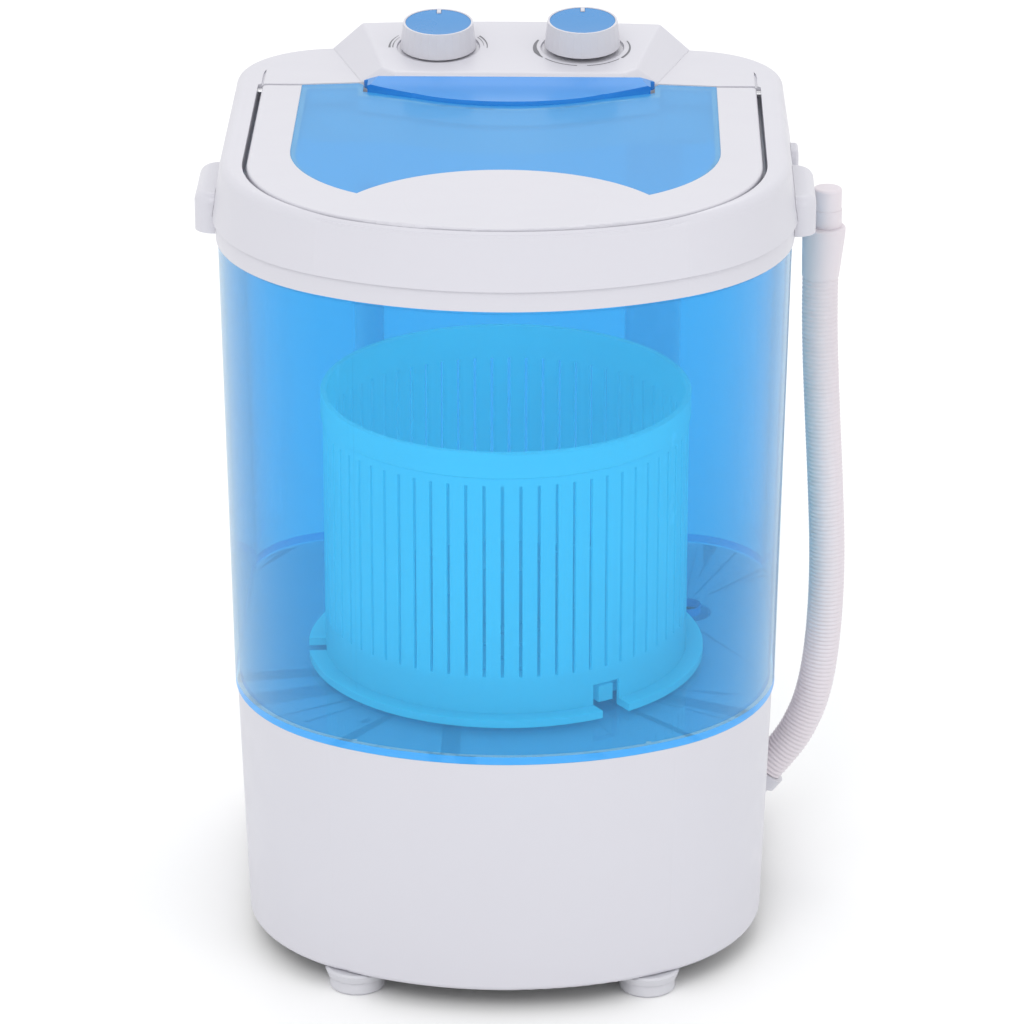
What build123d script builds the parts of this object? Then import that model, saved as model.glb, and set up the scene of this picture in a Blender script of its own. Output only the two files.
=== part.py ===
from build123d import *
from math import asin, cos, degrees, pi, radians, sin, sqrt, tan
import os

os.makedirs("parts", exist_ok=True)

# ---------------------------------------------------------------------------
# Driving dimensions, in millimetres. Origin: on the floor, under the middle
# of the body. +X is the user's right, -Y is the front, +Z is up.
# ---------------------------------------------------------------------------

# Heights
FOOT_HEIGHT = 14.0
BASE_HEIGHT = 147.0
DRUM_HEIGHT = 275.5
LIP_HEIGHT = 12.0
BAND_HEIGHT = 33.5

BASE_Z = FOOT_HEIGHT
DRUM_Z = BASE_Z + BASE_HEIGHT
LIP_Z = DRUM_Z + DRUM_HEIGHT
STEP_Z = LIP_Z + LIP_HEIGHT
DECK_Z = STEP_Z + BAND_HEIGHT

# Body plan: a rounded D with a broad curved front, at the lip under the band
BODY_HALF_WIDTH = 165.0
BODY_HALF_DEPTH = 178.0
FRONT_RADIUS = 207.0
FRONT_CORNER_RADIUS = 123.0
REAR_RADIUS = 1200.0
REAR_CORNER_RADIUS = 62.0

# How far each level of the body stands inside that plan
BAND_FOOT_INSET = -1.8
RIM_INSET = 3.5
DRUM_TOP_INSET = 1.2
DRUM_FOOT_INSET = 6.2
BASE_TOP_INSET = 7.4
BASE_FOOT_INSET = 12.4

# Wall thicknesses
BASE_WALL = 3.0
DRUM_WALL = 2.6
BAND_WALL = 2.8
FLOOR_THICKNESS = 5.5
FLOOR_Z = DRUM_Z + FLOOR_THICKNESS
FIT_GAP = 0.3

# Drive line
DRIVE_Y = -17.0
SHAFT_RADIUS = 5.0
BEARING_RADIUS = 13.0
RUNNING_GAP = 0.05
PULLEY_Z = 72.0
PULLEY_WIDTH = 14.0
BIG_PULLEY_RADIUS = 55.0
BELT_BIG_RADIUS = 52.0
BELT_SMALL_RADIUS = 12.0
SMALL_PULLEY_RADIUS = 15.0
BELT_HALF_THICKNESS = 2.0
BELT_HEIGHT = 5.0
MOTOR_Y = 95.0
MOTOR_RADIUS = 46.0
MOTOR_Z = 96.0
MOTOR_HEIGHT = 56.0
MOTOR_SHAFT_RADIUS = 4.0
MOTOR_BOLT_X = 42.0
BRACKET_THICKNESS = 3.0
BRACKET_Z = MOTOR_Z - BRACKET_THICKNESS

# Spin basket
BASKET_RADIUS = 107.0
BASKET_WALL = 2.4
BASKET_FLANGE_RADIUS = 117.0
BASKET_Z = 167.5
BASKET_TOP_Z = 333.0
BASKET_RIM_HEIGHT = 16.0
BASKET_FLANGE_HEIGHT = 4.5
BASKET_FLOOR_Z = 190.0
SLOT_COUNT = 64
SLOT_WIDTH = 2.0
SLOT_LOW_Z = 194.5
SLOT_HIGH_Z = 312.5
LUG_ANGLES = (-56.0, 64.0, 184.0)
LUG_WIDTH = 9.5
LUG_NOTCH_WIDTH = 18.0
LUG_NOTCH_TOP_Z = 184.5

# Pulsator
PULSATOR_RADIUS = 98.0
PULSATOR_Z = 172.5
PULSATOR_TOP_Z = 189.5

# Lid and the opening under it
LID_HALF_WIDTH = 146.0
LID_FRONT_Y = -170.0
LID_REAR_Y = 91.5
LID_FRONT_RADIUS = 200.0
LID_CORNER_RADIUS = 108.0
LID_REAR_CORNER_RADIUS = 3.0
LID_WING_RISE = 4.5
LID_GAP = 2.6
LID_REAR_GAP = 1.8
LID_SHEET = 2.6
LID_DEPTH = 11.0
POCKET_Z = DECK_Z - 14.0
LEDGE_THICKNESS = 3.0
OPENING_INSET = 18.0
HINGE_Y = 89.0
HINGE_Z = DECK_Z - 3.6
HINGE_PIN_RADIUS = 1.8
WINDOW_HALF_WIDTH = 122.5
WINDOW_CORNER_RADIUS = 95.0
WINDOW_FRONT_Y = -127.0
WINDOW_SEAT_DEPTH = 1.6
CRESCENT_RADIUS = 98.0
CRESCENT_Y = -165.0
LENS_RADIUS = 109.0
LENS_Y = 163.0
LENS_REAR_Y = 96.0
LENS_NECK_X = 57.0
LENS_NECK_Y = 69.4
LENS_FLARE_X = 83.5
LENS_FLARE_Y = 81.5

# Control panel
PANEL_TILT = 6.0
PANEL_FRONT_Y = 90.4
PANEL_FRONT_Z = DECK_Z + 7.8
PANEL_REAR_Y = 174.0
PANEL_NOSE_X = 77.0
PANEL_CORNER_X = 88.0
PANEL_CORNER_Y = 99.0
PANEL_REAR_X = 110.0
PANEL_WALL = 2.6
KNOB_X = 43.0
KNOB_Y = 131.0
KNOB_HEIGHT = 15.4
KNOB_FOOT_RADIUS = 22.6
KNOB_TOP_RADIUS = 20.9
KNOB_CAP_RADIUS = 19.6
KNOB_FACETS = 28
DISH_RADIUS = 25.0

# Lifting handles
HANDLE_REACH = 177.0
HANDLE_FRONT_Y = -54.0
HANDLE_REAR_Y = 12.0
HANDLE_LOW_Z = 438.5
HANDLE_TOP_Z = 461.5

# Drain hose: route of its centre line, from the outlet up to its nozzle
HOSE_RADIUS = 10.8
HOSE_Y = 54.0
OUTLET_SLOPE = 50.0
HOSE_ROUTE = [
    (158.6, 54.0, 58.7),
    (168.0, 54.2, 69.9),
    (177.7, 54.8, 84.4),
    (187.0, 55.4, 108.0),
    (192.0, 55.6, 146.0),
    (193.3, 55.2, 194.0),
    (190.8, 54.6, 246.0),
    (187.1, 54.2, 304.0),
    (184.7, 54.0, 352.0),
    (184.8, 54.0, 378.0),
]
COLLAR_Z = 378.0


def saved(part, name):
    """Labels a finished part and writes it."""
    part.label = name
    export_step(part, "parts/" + name + ".step")


# ---------------------------------------------------------------------------
# Shared outlines
# ---------------------------------------------------------------------------


def rounded_d(half_width, front_y, rear_y, radii):
    """A closed plan: broad front arc, front corners, sides, rear corners, rear edge."""
    front, front_corner, rear_corner, rear = radii
    front_turn = asin((half_width - front_corner) / (front - front_corner))
    front_degrees = degrees(front_turn)
    rear_turn = asin((half_width - rear_corner) / (rear - rear_corner)) if rear else 0.0
    rear_sag = (rear - rear_corner) * (1 - cos(rear_turn)) if rear else 0.0
    side_end_y = rear_y - rear_corner - rear_sag
    with BuildSketch() as outline:
        with BuildLine():
            nose = JernArc((0, front_y), (1, 0), front, front_degrees)
            corner = JernArc(nose @ 1, nose % 1, front_corner, 90 - front_degrees)
            side = Line(corner @ 1, (half_width, side_end_y))
            rear_bend = JernArc(side @ 1, (0, 1), rear_corner, 90 - degrees(rear_turn))
            if rear:
                middle_x = rear * sin(rear_turn / 2)
                middle_y = rear_y - rear + rear * cos(rear_turn / 2)
                ThreePointArc(rear_bend @ 1, (middle_x, middle_y), (0, rear_y))
            else:
                Line(rear_bend @ 1, (0, rear_y))
            mirror(about=Plane.YZ)
        make_face()
    return outline.sketch


def body_plan(z, inset):
    """The body's plan at height z, standing inset inside the widest level."""
    radii = (
        FRONT_RADIUS - inset,
        FRONT_CORNER_RADIUS - inset,
        REAR_CORNER_RADIUS - inset,
        REAR_RADIUS - inset,
    )
    face = rounded_d(
        BODY_HALF_WIDTH - inset,
        -BODY_HALF_DEPTH + inset,
        BODY_HALF_DEPTH - inset,
        radii,
    )
    return face.moved(Location((0, 0, z)))


def body_between(low, high, mode=Mode.ADD):
    """Adds the body's tapered solid between two (height, inset) levels."""
    loft(sections=[body_plan(*low), body_plan(*high)], ruled=True, mode=mode)


def base_inset(z):
    """Inset of the white base's outer face at height z."""
    share = (z - BASE_Z) / BASE_HEIGHT
    return BASE_FOOT_INSET + (BASE_TOP_INSET - BASE_FOOT_INSET) * share


def drum_inset(z):
    """Inset of the drum's outer face at height z."""
    share = (z - DRUM_Z) / DRUM_HEIGHT
    return DRUM_FOOT_INSET + (DRUM_TOP_INSET - DRUM_FOOT_INSET) * share


def lid_plan(z, inset, rear_inset=None):
    """The lid's plan at height z, without the notch for the lens; its rear edge runs back to it."""
    rear_y = LID_REAR_Y - (inset if rear_inset is None else rear_inset)
    radii = (
        LID_FRONT_RADIUS - inset,
        LID_CORNER_RADIUS - inset,
        LID_REAR_CORNER_RADIUS,
        None,
    )
    outline = rounded_d(LID_HALF_WIDTH - inset, LID_FRONT_Y + inset, rear_y, radii)
    with BuildSketch() as plan:
        add(outline)
        with BuildLine():
            Polyline(
                (-WINDOW_HALF_WIDTH, HINGE_Y - OPENING_INSET),
                (-WINDOW_HALF_WIDTH, rear_y),
                (-LENS_FLARE_X, rear_y + LID_WING_RISE),
                (LENS_FLARE_X, rear_y + LID_WING_RISE),
                (WINDOW_HALF_WIDTH, rear_y),
                (WINDOW_HALF_WIDTH, HINGE_Y - OPENING_INSET),
                close=True,
            )
        make_face()
    return plan.sketch.moved(Location((0, 0, z)))


def lens_plan(z, grow=0.0, rear_y=LENS_REAR_Y):
    """The lens's outline: an arc that flares out at its ends, clear of the turning lid."""
    with BuildSketch(Plane.XY.offset(z)) as plan:
        with Locations((0, LENS_Y)):
            Circle(LENS_RADIUS + grow)
        with BuildLine():
            Polyline(
                (-LENS_FLARE_X - grow, rear_y),
                (-LENS_FLARE_X - grow, LENS_FLARE_Y - grow),
                (-LENS_NECK_X, LENS_NECK_Y - grow),
                (LENS_NECK_X, LENS_NECK_Y - grow),
                (LENS_FLARE_X + grow, LENS_FLARE_Y - grow),
                (LENS_FLARE_X + grow, rear_y),
                close=True,
            )
        make_face()
        with Locations((0, rear_y + 2 * LENS_RADIUS)):
            Rectangle(4 * LENS_RADIUS, 4 * LENS_RADIUS, mode=Mode.SUBTRACT)
    return plan.sketch


def notch_plan(z, grow=0.0):
    """The notch in the lid for the lens, open at the rear."""
    return lens_plan(z, LID_GAP + grow, LID_REAR_Y + 2 * LID_WING_RISE)


def panel_corners(shrink, drop_in=0.0):
    """Corners of the panel's plan; drop_in is how far its sides have leaned in at that height."""
    return [
        (PANEL_NOSE_X - drop_in, PANEL_FRONT_Y + shrink),
        (PANEL_CORNER_X - drop_in - shrink, PANEL_CORNER_Y + shrink),
    ]


def lens_footprint(z, grow=0.0):
    """The lens's outline, cut back along the front of the control panel."""
    (nose_x, nose_y), (corner_x, corner_y) = panel_corners(grow - FIT_GAP)
    outline = lens_plan(0, grow)
    with BuildSketch() as plan:
        add(outline)
        with BuildLine():
            Polyline(
                (-corner_x, 2 * corner_y),
                (-corner_x, corner_y),
                (-nose_x, nose_y),
                (nose_x, nose_y),
                (corner_x, corner_y),
                (corner_x, 2 * corner_y),
                close=True,
            )
        make_face(mode=Mode.SUBTRACT)
    return plan.sketch.moved(Location((0, 0, z)))


def window_plan(grow=0.0):
    """The window's plan: a concave crescent at the front, and the lid's own edge at the rear."""
    front_y = WINDOW_FRONT_Y - grow
    rear_y = LID_REAR_Y + 2 * LID_WING_RISE
    lid_outline = lid_plan(0, -grow)
    notch = notch_plan(0, -grow)
    with BuildSketch() as plan:
        with Locations((0, (front_y + rear_y) / 2)):
            Rectangle(2 * (WINDOW_HALF_WIDTH + grow), rear_y - front_y)
        fillet(plan.vertices().group_by(Axis.Y)[0], WINDOW_CORNER_RADIUS + grow)
        add(lid_outline, mode=Mode.INTERSECT)
        with Locations((0, CRESCENT_Y)):
            Circle(CRESCENT_RADIUS - grow, mode=Mode.SUBTRACT)
        add(notch, mode=Mode.SUBTRACT)
    return plan.sketch


# ---------------------------------------------------------------------------
# White base with its bottom plate and feet
# ---------------------------------------------------------------------------

FOOT_X = 85.0
FOOT_FRONT_Y = -129.0
FOOT_REAR_Y = 132.0
FOOT_PLACES = {
    "foot_front_left": (-FOOT_X, FOOT_FRONT_Y),
    "foot_front_right": (FOOT_X, FOOT_FRONT_Y),
    "foot_rear_left": (-FOOT_X, FOOT_REAR_Y),
    "foot_rear_right": (FOOT_X, FOOT_REAR_Y),
}
PLATE_Z = BASE_Z + 1.0
PLATE_THICKNESS = 3.0
PLATE_TOP_Z = PLATE_Z + PLATE_THICKNESS
PLATE_SCREW_PLACES = [(-142.0, -20.0), (142.0, -20.0), (-142.0, 100.0), (142.0, 100.0)]
BOSS_HEIGHT = 22.0
BOSS_X = 143.0

# The outlet is a slanted collar in the base's right side
OUTLET_AXIS = Vector(cos(radians(OUTLET_SLOPE)), 0, sin(radians(OUTLET_SLOPE)))
OUTLET_FACE = Vector(*HOSE_ROUTE[0])
OUTLET_INNER = OUTLET_FACE - OUTLET_AXIS * 20.0
OUTLET_PLANE = Plane(origin=tuple(OUTLET_INNER), x_dir=(0, 1, 0), z_dir=tuple(OUTLET_AXIS))
OUTLET_HOLE_RADIUS = 11.2
OUTLET_FLANGE_RADIUS = 13.4
OUTLET_LENGTH = 19.7
HOUSING_FLANGE_RADIUS = 46.0
DRAIN_X = 108.0
PIPE_FLANGE_RADIUS = 14.0
GROMMET_X = -70.0
GROMMET_Z = 46.0
GROMMET_RADIUS = 8.0

with BuildPart() as base_housing:
    body_between((BASE_Z, BASE_FOOT_INSET), (DRUM_Z, BASE_TOP_INSET))
    fillet(base_housing.edges().group_by(Axis.Z)[0], 3.5)
    cavity_top_z = DRUM_Z - BASE_WALL
    body_between(
        (BASE_Z - 1, base_inset(BASE_Z - 1) + BASE_WALL),
        (cavity_top_z, base_inset(cavity_top_z) + BASE_WALL),
        mode=Mode.SUBTRACT,
    )
    # Holes in the top for the bearing housing and for the drain pipe's flange
    with Locations((0, DRIVE_Y, DRUM_Z)):
        Hole(HOUSING_FLANGE_RADIUS + 1.5, 2 * BASE_WALL)
    with Locations((DRAIN_X, HOSE_Y, DRUM_Z)):
        Hole(PIPE_FLANGE_RADIUS + 1.5, 2 * BASE_WALL)
    # Screw bosses on the side walls
    for x, y in PLATE_SCREW_PLACES:
        with Locations((BOSS_X if x > 0 else -BOSS_X, y, PLATE_TOP_Z + BOSS_HEIGHT / 2)):
            Box(16.0, 14.0, BOSS_HEIGHT)
        with Locations((x, y, PLATE_TOP_Z + BOSS_HEIGHT / 2)):
            Cylinder(1.6, BOSS_HEIGHT + 2, mode=Mode.SUBTRACT)
    with BuildSketch(OUTLET_PLANE):
        Circle(OUTLET_HOLE_RADIUS)
    extrude(amount=40.0, mode=Mode.SUBTRACT)
    with BuildSketch(Plane.XZ.offset(-BODY_HALF_DEPTH)):
        with Locations((GROMMET_X, GROMMET_Z)):
            Circle(GROMMET_RADIUS)
    extrude(amount=30.0, mode=Mode.SUBTRACT)
    # Cooling louvres low in the rear wall
    with BuildSketch(Plane.XZ.offset(-BODY_HALF_DEPTH)):
        with Locations((20.0, 62.0)):
            with GridLocations(12.0, 1.0, 9, 1):
                SlotOverall(38.0, 4.5, rotation=90)
    extrude(amount=30.0, mode=Mode.SUBTRACT)
saved(base_housing.part, "base_housing")

VENT_COUNT = 5
VENT_PITCH = 11.0
POST_RADIUS = 6.0
POST_PLACES = [
    (x, MOTOR_Y + y) for x in (-MOTOR_BOLT_X, MOTOR_BOLT_X) for y in (-MOTOR_BOLT_X, MOTOR_BOLT_X)
]

with BuildPart() as bottom_plate:
    add(body_plan(PLATE_Z, base_inset(PLATE_Z) + BASE_WALL + 0.5))
    extrude(amount=PLATE_THICKNESS)
    # Cooling slots under the motor
    with BuildSketch(Plane.XY.offset(PLATE_Z)):
        with Locations((0, MOTOR_Y)):
            with GridLocations(VENT_PITCH, 1.0, VENT_COUNT, 1):
                SlotOverall(60.0, 4.5, rotation=90)
    extrude(amount=PLATE_THICKNESS, mode=Mode.SUBTRACT)
    with Locations(*[(x, y, PLATE_TOP_Z) for x, y in POST_PLACES]):
        Cylinder(POST_RADIUS, BRACKET_Z - PLATE_TOP_Z, align=(Align.CENTER, Align.CENTER, Align.MIN))
    with Locations(*[(x, y, BRACKET_Z) for x, y in POST_PLACES]):
        Hole(2.0, 16.0)
    with Locations(*[(x, y, PLATE_TOP_Z) for x, y in PLATE_SCREW_PLACES]):
        Hole(2.0, PLATE_THICKNESS)
    with Locations(*[(x, y, PLATE_TOP_Z) for x, y in FOOT_PLACES.values()]):
        Hole(2.5, PLATE_THICKNESS)
saved(bottom_plate.part, "bottom_plate")

FOOT_TOP_RADIUS = 19.0
FOOT_PAD_RADIUS = 16.3
FOOT_STEP_Z = 8.5
FOOT_NECK_RADIUS = 9.0

for name, (x, y) in FOOT_PLACES.items():
    with BuildPart() as foot:
        with BuildSketch(Plane.XZ):
            with BuildLine():
                Polyline(
                    (3.2, 0),
                    (FOOT_PAD_RADIUS - 1.5, 0),
                    (FOOT_PAD_RADIUS, 1.5),
                    (FOOT_PAD_RADIUS, FOOT_STEP_Z),
                    (FOOT_PAD_RADIUS + 1.2, FOOT_STEP_Z),
                    (FOOT_TOP_RADIUS, BASE_Z - 1.2),
                    (FOOT_TOP_RADIUS - 1.5, BASE_Z - 0.2),
                    (FOOT_NECK_RADIUS, BASE_Z - 0.2),
                    (FOOT_NECK_RADIUS, PLATE_Z - 0.2),
                    (2.2, PLATE_Z - 0.2),
                    (2.2, 4.0),
                    (3.2, 4.0),
                    close=True,
                )
            make_face()
        revolve(axis=Axis.Z)
    foot_part = foot.part.moved(Location((x, y, 0)))
    saved(foot_part, name)


def screw_group(places, head_z, length, radius, head_radius, direction=1):
    """Pan-head screws, one at each place; the shank runs from head_z along direction."""
    head_height = 0.55 * head_radius
    with BuildPart() as group:
        for px, py in places:
            with Locations((px, py, head_z + direction * length / 2)):
                Cylinder(radius, length)
            with Locations((px, py, head_z - direction * head_height / 2)):
                Cylinder(head_radius, head_height)
    return group.part


saved(screw_group(FOOT_PLACES.values(), 4.0, PLATE_TOP_Z - 4.0 + 2.0, 2.1, 3.1), "foot_screws")
saved(screw_group(PLATE_SCREW_PLACES, PLATE_Z, 18.0, 1.55, 3.4), "bottom_plate_screws")

# ---------------------------------------------------------------------------
# Clear tub
# ---------------------------------------------------------------------------

NECK_TOP_Z = STEP_Z + 6.0
NECK_INSET = 3.1
DRAIN_HOLE_RADIUS = 9.0
RIB_X = 84.0
RIB_WIDTH = 3.0
RIB_DEPTH = 2.0
HOUSING_TUBE_RADIUS = 17.0
HOUSING_SCREW_CIRCLE = 38.0
HOUSING_SCREW_RADIUS = 1.95
PILOT_DEPTH = 4.2


def front_wall_y(x, inset):
    """Y of the body's front face at a given x and inset."""
    radius = FRONT_RADIUS - inset
    return -BODY_HALF_DEPTH + FRONT_RADIUS - sqrt(radius**2 - x**2)


with BuildPart() as tub_drum:
    body_between((DRUM_Z, DRUM_FOOT_INSET), (LIP_Z, DRUM_TOP_INSET))
    body_between((LIP_Z, NECK_INSET), (NECK_TOP_Z, NECK_INSET))
    body_between(
        (FLOOR_Z, drum_inset(FLOOR_Z) + DRUM_WALL),
        (LIP_Z - 3.0, drum_inset(LIP_Z - 3.0) + DRUM_WALL),
        mode=Mode.SUBTRACT,
    )
    body_between(
        (LIP_Z - 3.0, NECK_INSET + DRUM_WALL),
        (NECK_TOP_Z + 1, NECK_INSET + DRUM_WALL),
        mode=Mode.SUBTRACT,
    )
    fillet(tub_drum.edges().group_by(Axis.Z)[0], 1.0)
    for side in (-1, 1):
        ends = []
        for z in (FLOOR_Z - 0.5, LIP_Z - 3.0):
            wall_y = front_wall_y(RIB_X, drum_inset(z) + DRUM_WALL)
            with BuildSketch(Plane.XY.offset(z)) as rib_end:
                with Locations((side * RIB_X, wall_y)):
                    Rectangle(RIB_WIDTH, 2 * RIB_DEPTH)
            ends.append(rib_end.sketch)
        loft(sections=ends, ruled=True)
    with Locations((0, DRIVE_Y, FLOOR_Z)):
        Hole(HOUSING_TUBE_RADIUS + 0.2, 2 * FLOOR_THICKNESS)
    with Locations((DRAIN_X, HOSE_Y, FLOOR_Z)):
        Hole(DRAIN_HOLE_RADIUS, 2 * FLOOR_THICKNESS)
    # Blind pilot holes for the bearing housing's screws
    with Locations((0, DRIVE_Y, DRUM_Z + PILOT_DEPTH)):
        with PolarLocations(HOUSING_SCREW_CIRCLE, 4, start_angle=45):
            Hole(HOUSING_SCREW_RADIUS, 2 * PILOT_DEPTH)
saved(tub_drum.part, "tub_drum")

# ---------------------------------------------------------------------------
# Bearing housing, bearings, seal and shaft under the tub floor
# ---------------------------------------------------------------------------

HOUSING_LOW_Z = 98.0
HOUSING_TOP_Z = FLOOR_Z + 3.0
HOUSING_FLANGE_THICKNESS = 4.0
BEARING_HEIGHT = 12.0
LOWER_BEARING_Z = HOUSING_LOW_Z + 2.0
UPPER_BEARING_Z = 140.0
SEAL_Z = 158.0
SEAL_HEIGHT = 8.0
HOUSING_SCREWS = [
    (HOUSING_SCREW_CIRCLE * cos(radians(a)), DRIVE_Y + HOUSING_SCREW_CIRCLE * sin(radians(a)))
    for a in (45, 135, 225, 315)
]

with BuildPart() as bearing_housing:
    with BuildSketch(Plane.XZ):
        with BuildLine():
            Polyline(
                (8.0, HOUSING_LOW_Z),
                (HOUSING_TUBE_RADIUS, HOUSING_LOW_Z),
                (HOUSING_TUBE_RADIUS, DRUM_Z - HOUSING_FLANGE_THICKNESS - 0.2),
                (HOUSING_FLANGE_RADIUS, DRUM_Z - HOUSING_FLANGE_THICKNESS - 0.2),
                (HOUSING_FLANGE_RADIUS, DRUM_Z - 0.2),
                (HOUSING_TUBE_RADIUS, DRUM_Z - 0.2),
                (HOUSING_TUBE_RADIUS, HOUSING_TOP_Z),
                (BEARING_RADIUS, HOUSING_TOP_Z),
                (BEARING_RADIUS, LOWER_BEARING_Z),
                (8.0, LOWER_BEARING_Z),
                close=True,
            )
        make_face()
    revolve(axis=Axis.Z)
    # Gussets between the tube and the flange
    rib_top_z = DRUM_Z - HOUSING_FLANGE_THICKNESS
    with BuildSketch(Plane.XZ) as gusset:
        with BuildLine():
            Polyline(
                (HOUSING_TUBE_RADIUS - 2, rib_top_z),
                (HOUSING_FLANGE_RADIUS - 6, rib_top_z),
                (HOUSING_TUBE_RADIUS - 2, rib_top_z - 32),
                close=True,
            )
        make_face()
    gusset_solid = extrude(gusset.sketch, amount=1.5, both=True, mode=Mode.PRIVATE)
    for turn in range(0, 360, 60):
        add(gusset_solid.rotate(Axis.Z, turn))
    with Locations((0, 0, DRUM_Z)):
        with PolarLocations(HOUSING_SCREW_CIRCLE, 4, start_angle=45):
            Hole(HOUSING_SCREW_RADIUS, DRUM_Z - HOUSING_LOW_Z)
    with Locations((0, 0, (HOUSING_LOW_Z + HOUSING_TOP_Z) / 2 + 2)):
        Cylinder(BEARING_RADIUS, HOUSING_TOP_Z - HOUSING_LOW_Z - 2, mode=Mode.SUBTRACT)
saved(bearing_housing.part.moved(Location((0, DRIVE_Y, 0))), "bearing_housing")
saved(
    screw_group(HOUSING_SCREWS, DRUM_Z - HOUSING_FLANGE_THICKNESS - 0.2, 8.0, 1.9, 3.6),
    "bearing_housing_screws",
)


def ring(outer, inner, z, height):
    """A plain ring on the drive axis."""
    with BuildPart() as made:
        with BuildSketch(Plane.XY.offset(z)):
            with Locations((0, DRIVE_Y)):
                Circle(outer)
                Circle(inner, mode=Mode.SUBTRACT)
        extrude(amount=height)
        chamfer(made.edges().filter_by(GeomType.CIRCLE), 0.4)
    return made.part


saved(ring(BEARING_RADIUS, SHAFT_RADIUS + RUNNING_GAP, LOWER_BEARING_Z, BEARING_HEIGHT), "bearing_lower")
saved(ring(BEARING_RADIUS, SHAFT_RADIUS + RUNNING_GAP, UPPER_BEARING_Z, BEARING_HEIGHT), "bearing_upper")
saved(ring(BEARING_RADIUS, SHAFT_RADIUS + RUNNING_GAP, SEAL_Z, SEAL_HEIGHT), "shaft_seal")

SHAFT_LOW_Z = PULLEY_Z - 10.0
SHAFT_TOP_Z = 202.0

with BuildPart() as drive_shaft:
    with Locations((0, DRIVE_Y, SHAFT_LOW_Z)):
        Cylinder(
            SHAFT_RADIUS,
            SHAFT_TOP_Z - SHAFT_LOW_Z,
            align=(Align.CENTER, Align.CENTER, Align.MIN),
        )
    chamfer(drive_shaft.edges().filter_by(GeomType.CIRCLE), 0.8)
saved(drive_shaft.part, "drive_shaft")

# ---------------------------------------------------------------------------
# Belt drive
# ---------------------------------------------------------------------------

PULLEY_TOP_Z = PULLEY_Z + PULLEY_WIDTH
GROOVE_LOW_Z = PULLEY_Z + 3.5
GROOVE_HIGH_Z = PULLEY_TOP_Z - 3.5
BELT_Z = (PULLEY_Z + PULLEY_TOP_Z) / 2


def grooved_pulley(radius, groove_radius, bore, centre_y, spokes):
    """A pulley with one flat-bottomed groove."""
    with BuildPart() as made:
        with BuildSketch(Plane.XZ):
            with BuildLine():
                Polyline(
                    (bore, PULLEY_Z),
                    (radius, PULLEY_Z),
                    (radius, PULLEY_Z + 1.5),
                    (groove_radius, GROOVE_LOW_Z),
                    (groove_radius, GROOVE_HIGH_Z),
                    (radius, PULLEY_TOP_Z - 1.5),
                    (radius, PULLEY_TOP_Z),
                    (bore, PULLEY_TOP_Z),
                    close=True,
                )
            make_face()
        revolve(axis=Axis.Z)
        if spokes:
            with Locations((0, 0, PULLEY_Z - 1)):
                with PolarLocations(groove_radius * 0.58, spokes):
                    Cylinder(
                        groove_radius * 0.2,
                        PULLEY_WIDTH + 2,
                        align=(Align.CENTER, Align.CENTER, Align.MIN),
                        mode=Mode.SUBTRACT,
                    )
    return made.part.moved(Location((0, centre_y, 0)))


BIG_GROOVE_RADIUS = BELT_BIG_RADIUS - BELT_HALF_THICKNESS - FIT_GAP
SMALL_GROOVE_RADIUS = BELT_SMALL_RADIUS - BELT_HALF_THICKNESS - FIT_GAP

saved(grooved_pulley(BIG_PULLEY_RADIUS, BIG_GROOVE_RADIUS, SHAFT_RADIUS, DRIVE_Y, 6), "drive_pulley")
saved(
    grooved_pulley(SMALL_PULLEY_RADIUS, SMALL_GROOVE_RADIUS, MOTOR_SHAFT_RADIUS, MOTOR_Y, 0),
    "motor_pulley",
)

with BuildPart() as drive_pulley_nut:
    with BuildSketch(Plane.XY.offset(PULLEY_Z - 7.0)):
        with Locations((0, DRIVE_Y)):
            RegularPolygon(9.0, 6)
            Circle(SHAFT_RADIUS, mode=Mode.SUBTRACT)
    extrude(amount=7.0)
saved(drive_pulley_nut.part, "drive_pulley_nut")


def belt_loop(offset):
    """The tight loop round both pulleys at a distance from the belt's middle."""
    with BuildSketch() as loop:
        with Locations((0, DRIVE_Y)):
            Circle(BELT_BIG_RADIUS + offset)
        with Locations((0, MOTOR_Y)):
            Circle(BELT_SMALL_RADIUS + offset)
        make_hull()
    return loop.sketch


with BuildPart() as drive_belt:
    with BuildSketch(Plane.XY.offset(BELT_Z - BELT_HEIGHT / 2)):
        add(belt_loop(BELT_HALF_THICKNESS))
        add(belt_loop(-BELT_HALF_THICKNESS), mode=Mode.SUBTRACT)
    extrude(amount=BELT_HEIGHT)
saved(drive_belt.part, "drive_belt")

# ---------------------------------------------------------------------------
# Motor
# ---------------------------------------------------------------------------

MOTOR_TOP_Z = MOTOR_Z + MOTOR_HEIGHT
MOTOR_WALL = 2.5
STATOR_Z = MOTOR_Z + 13.0
STATOR_HEIGHT = 30.0
ROTOR_RADIUS = 27.5
STATOR_BORE = 28.2

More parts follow.
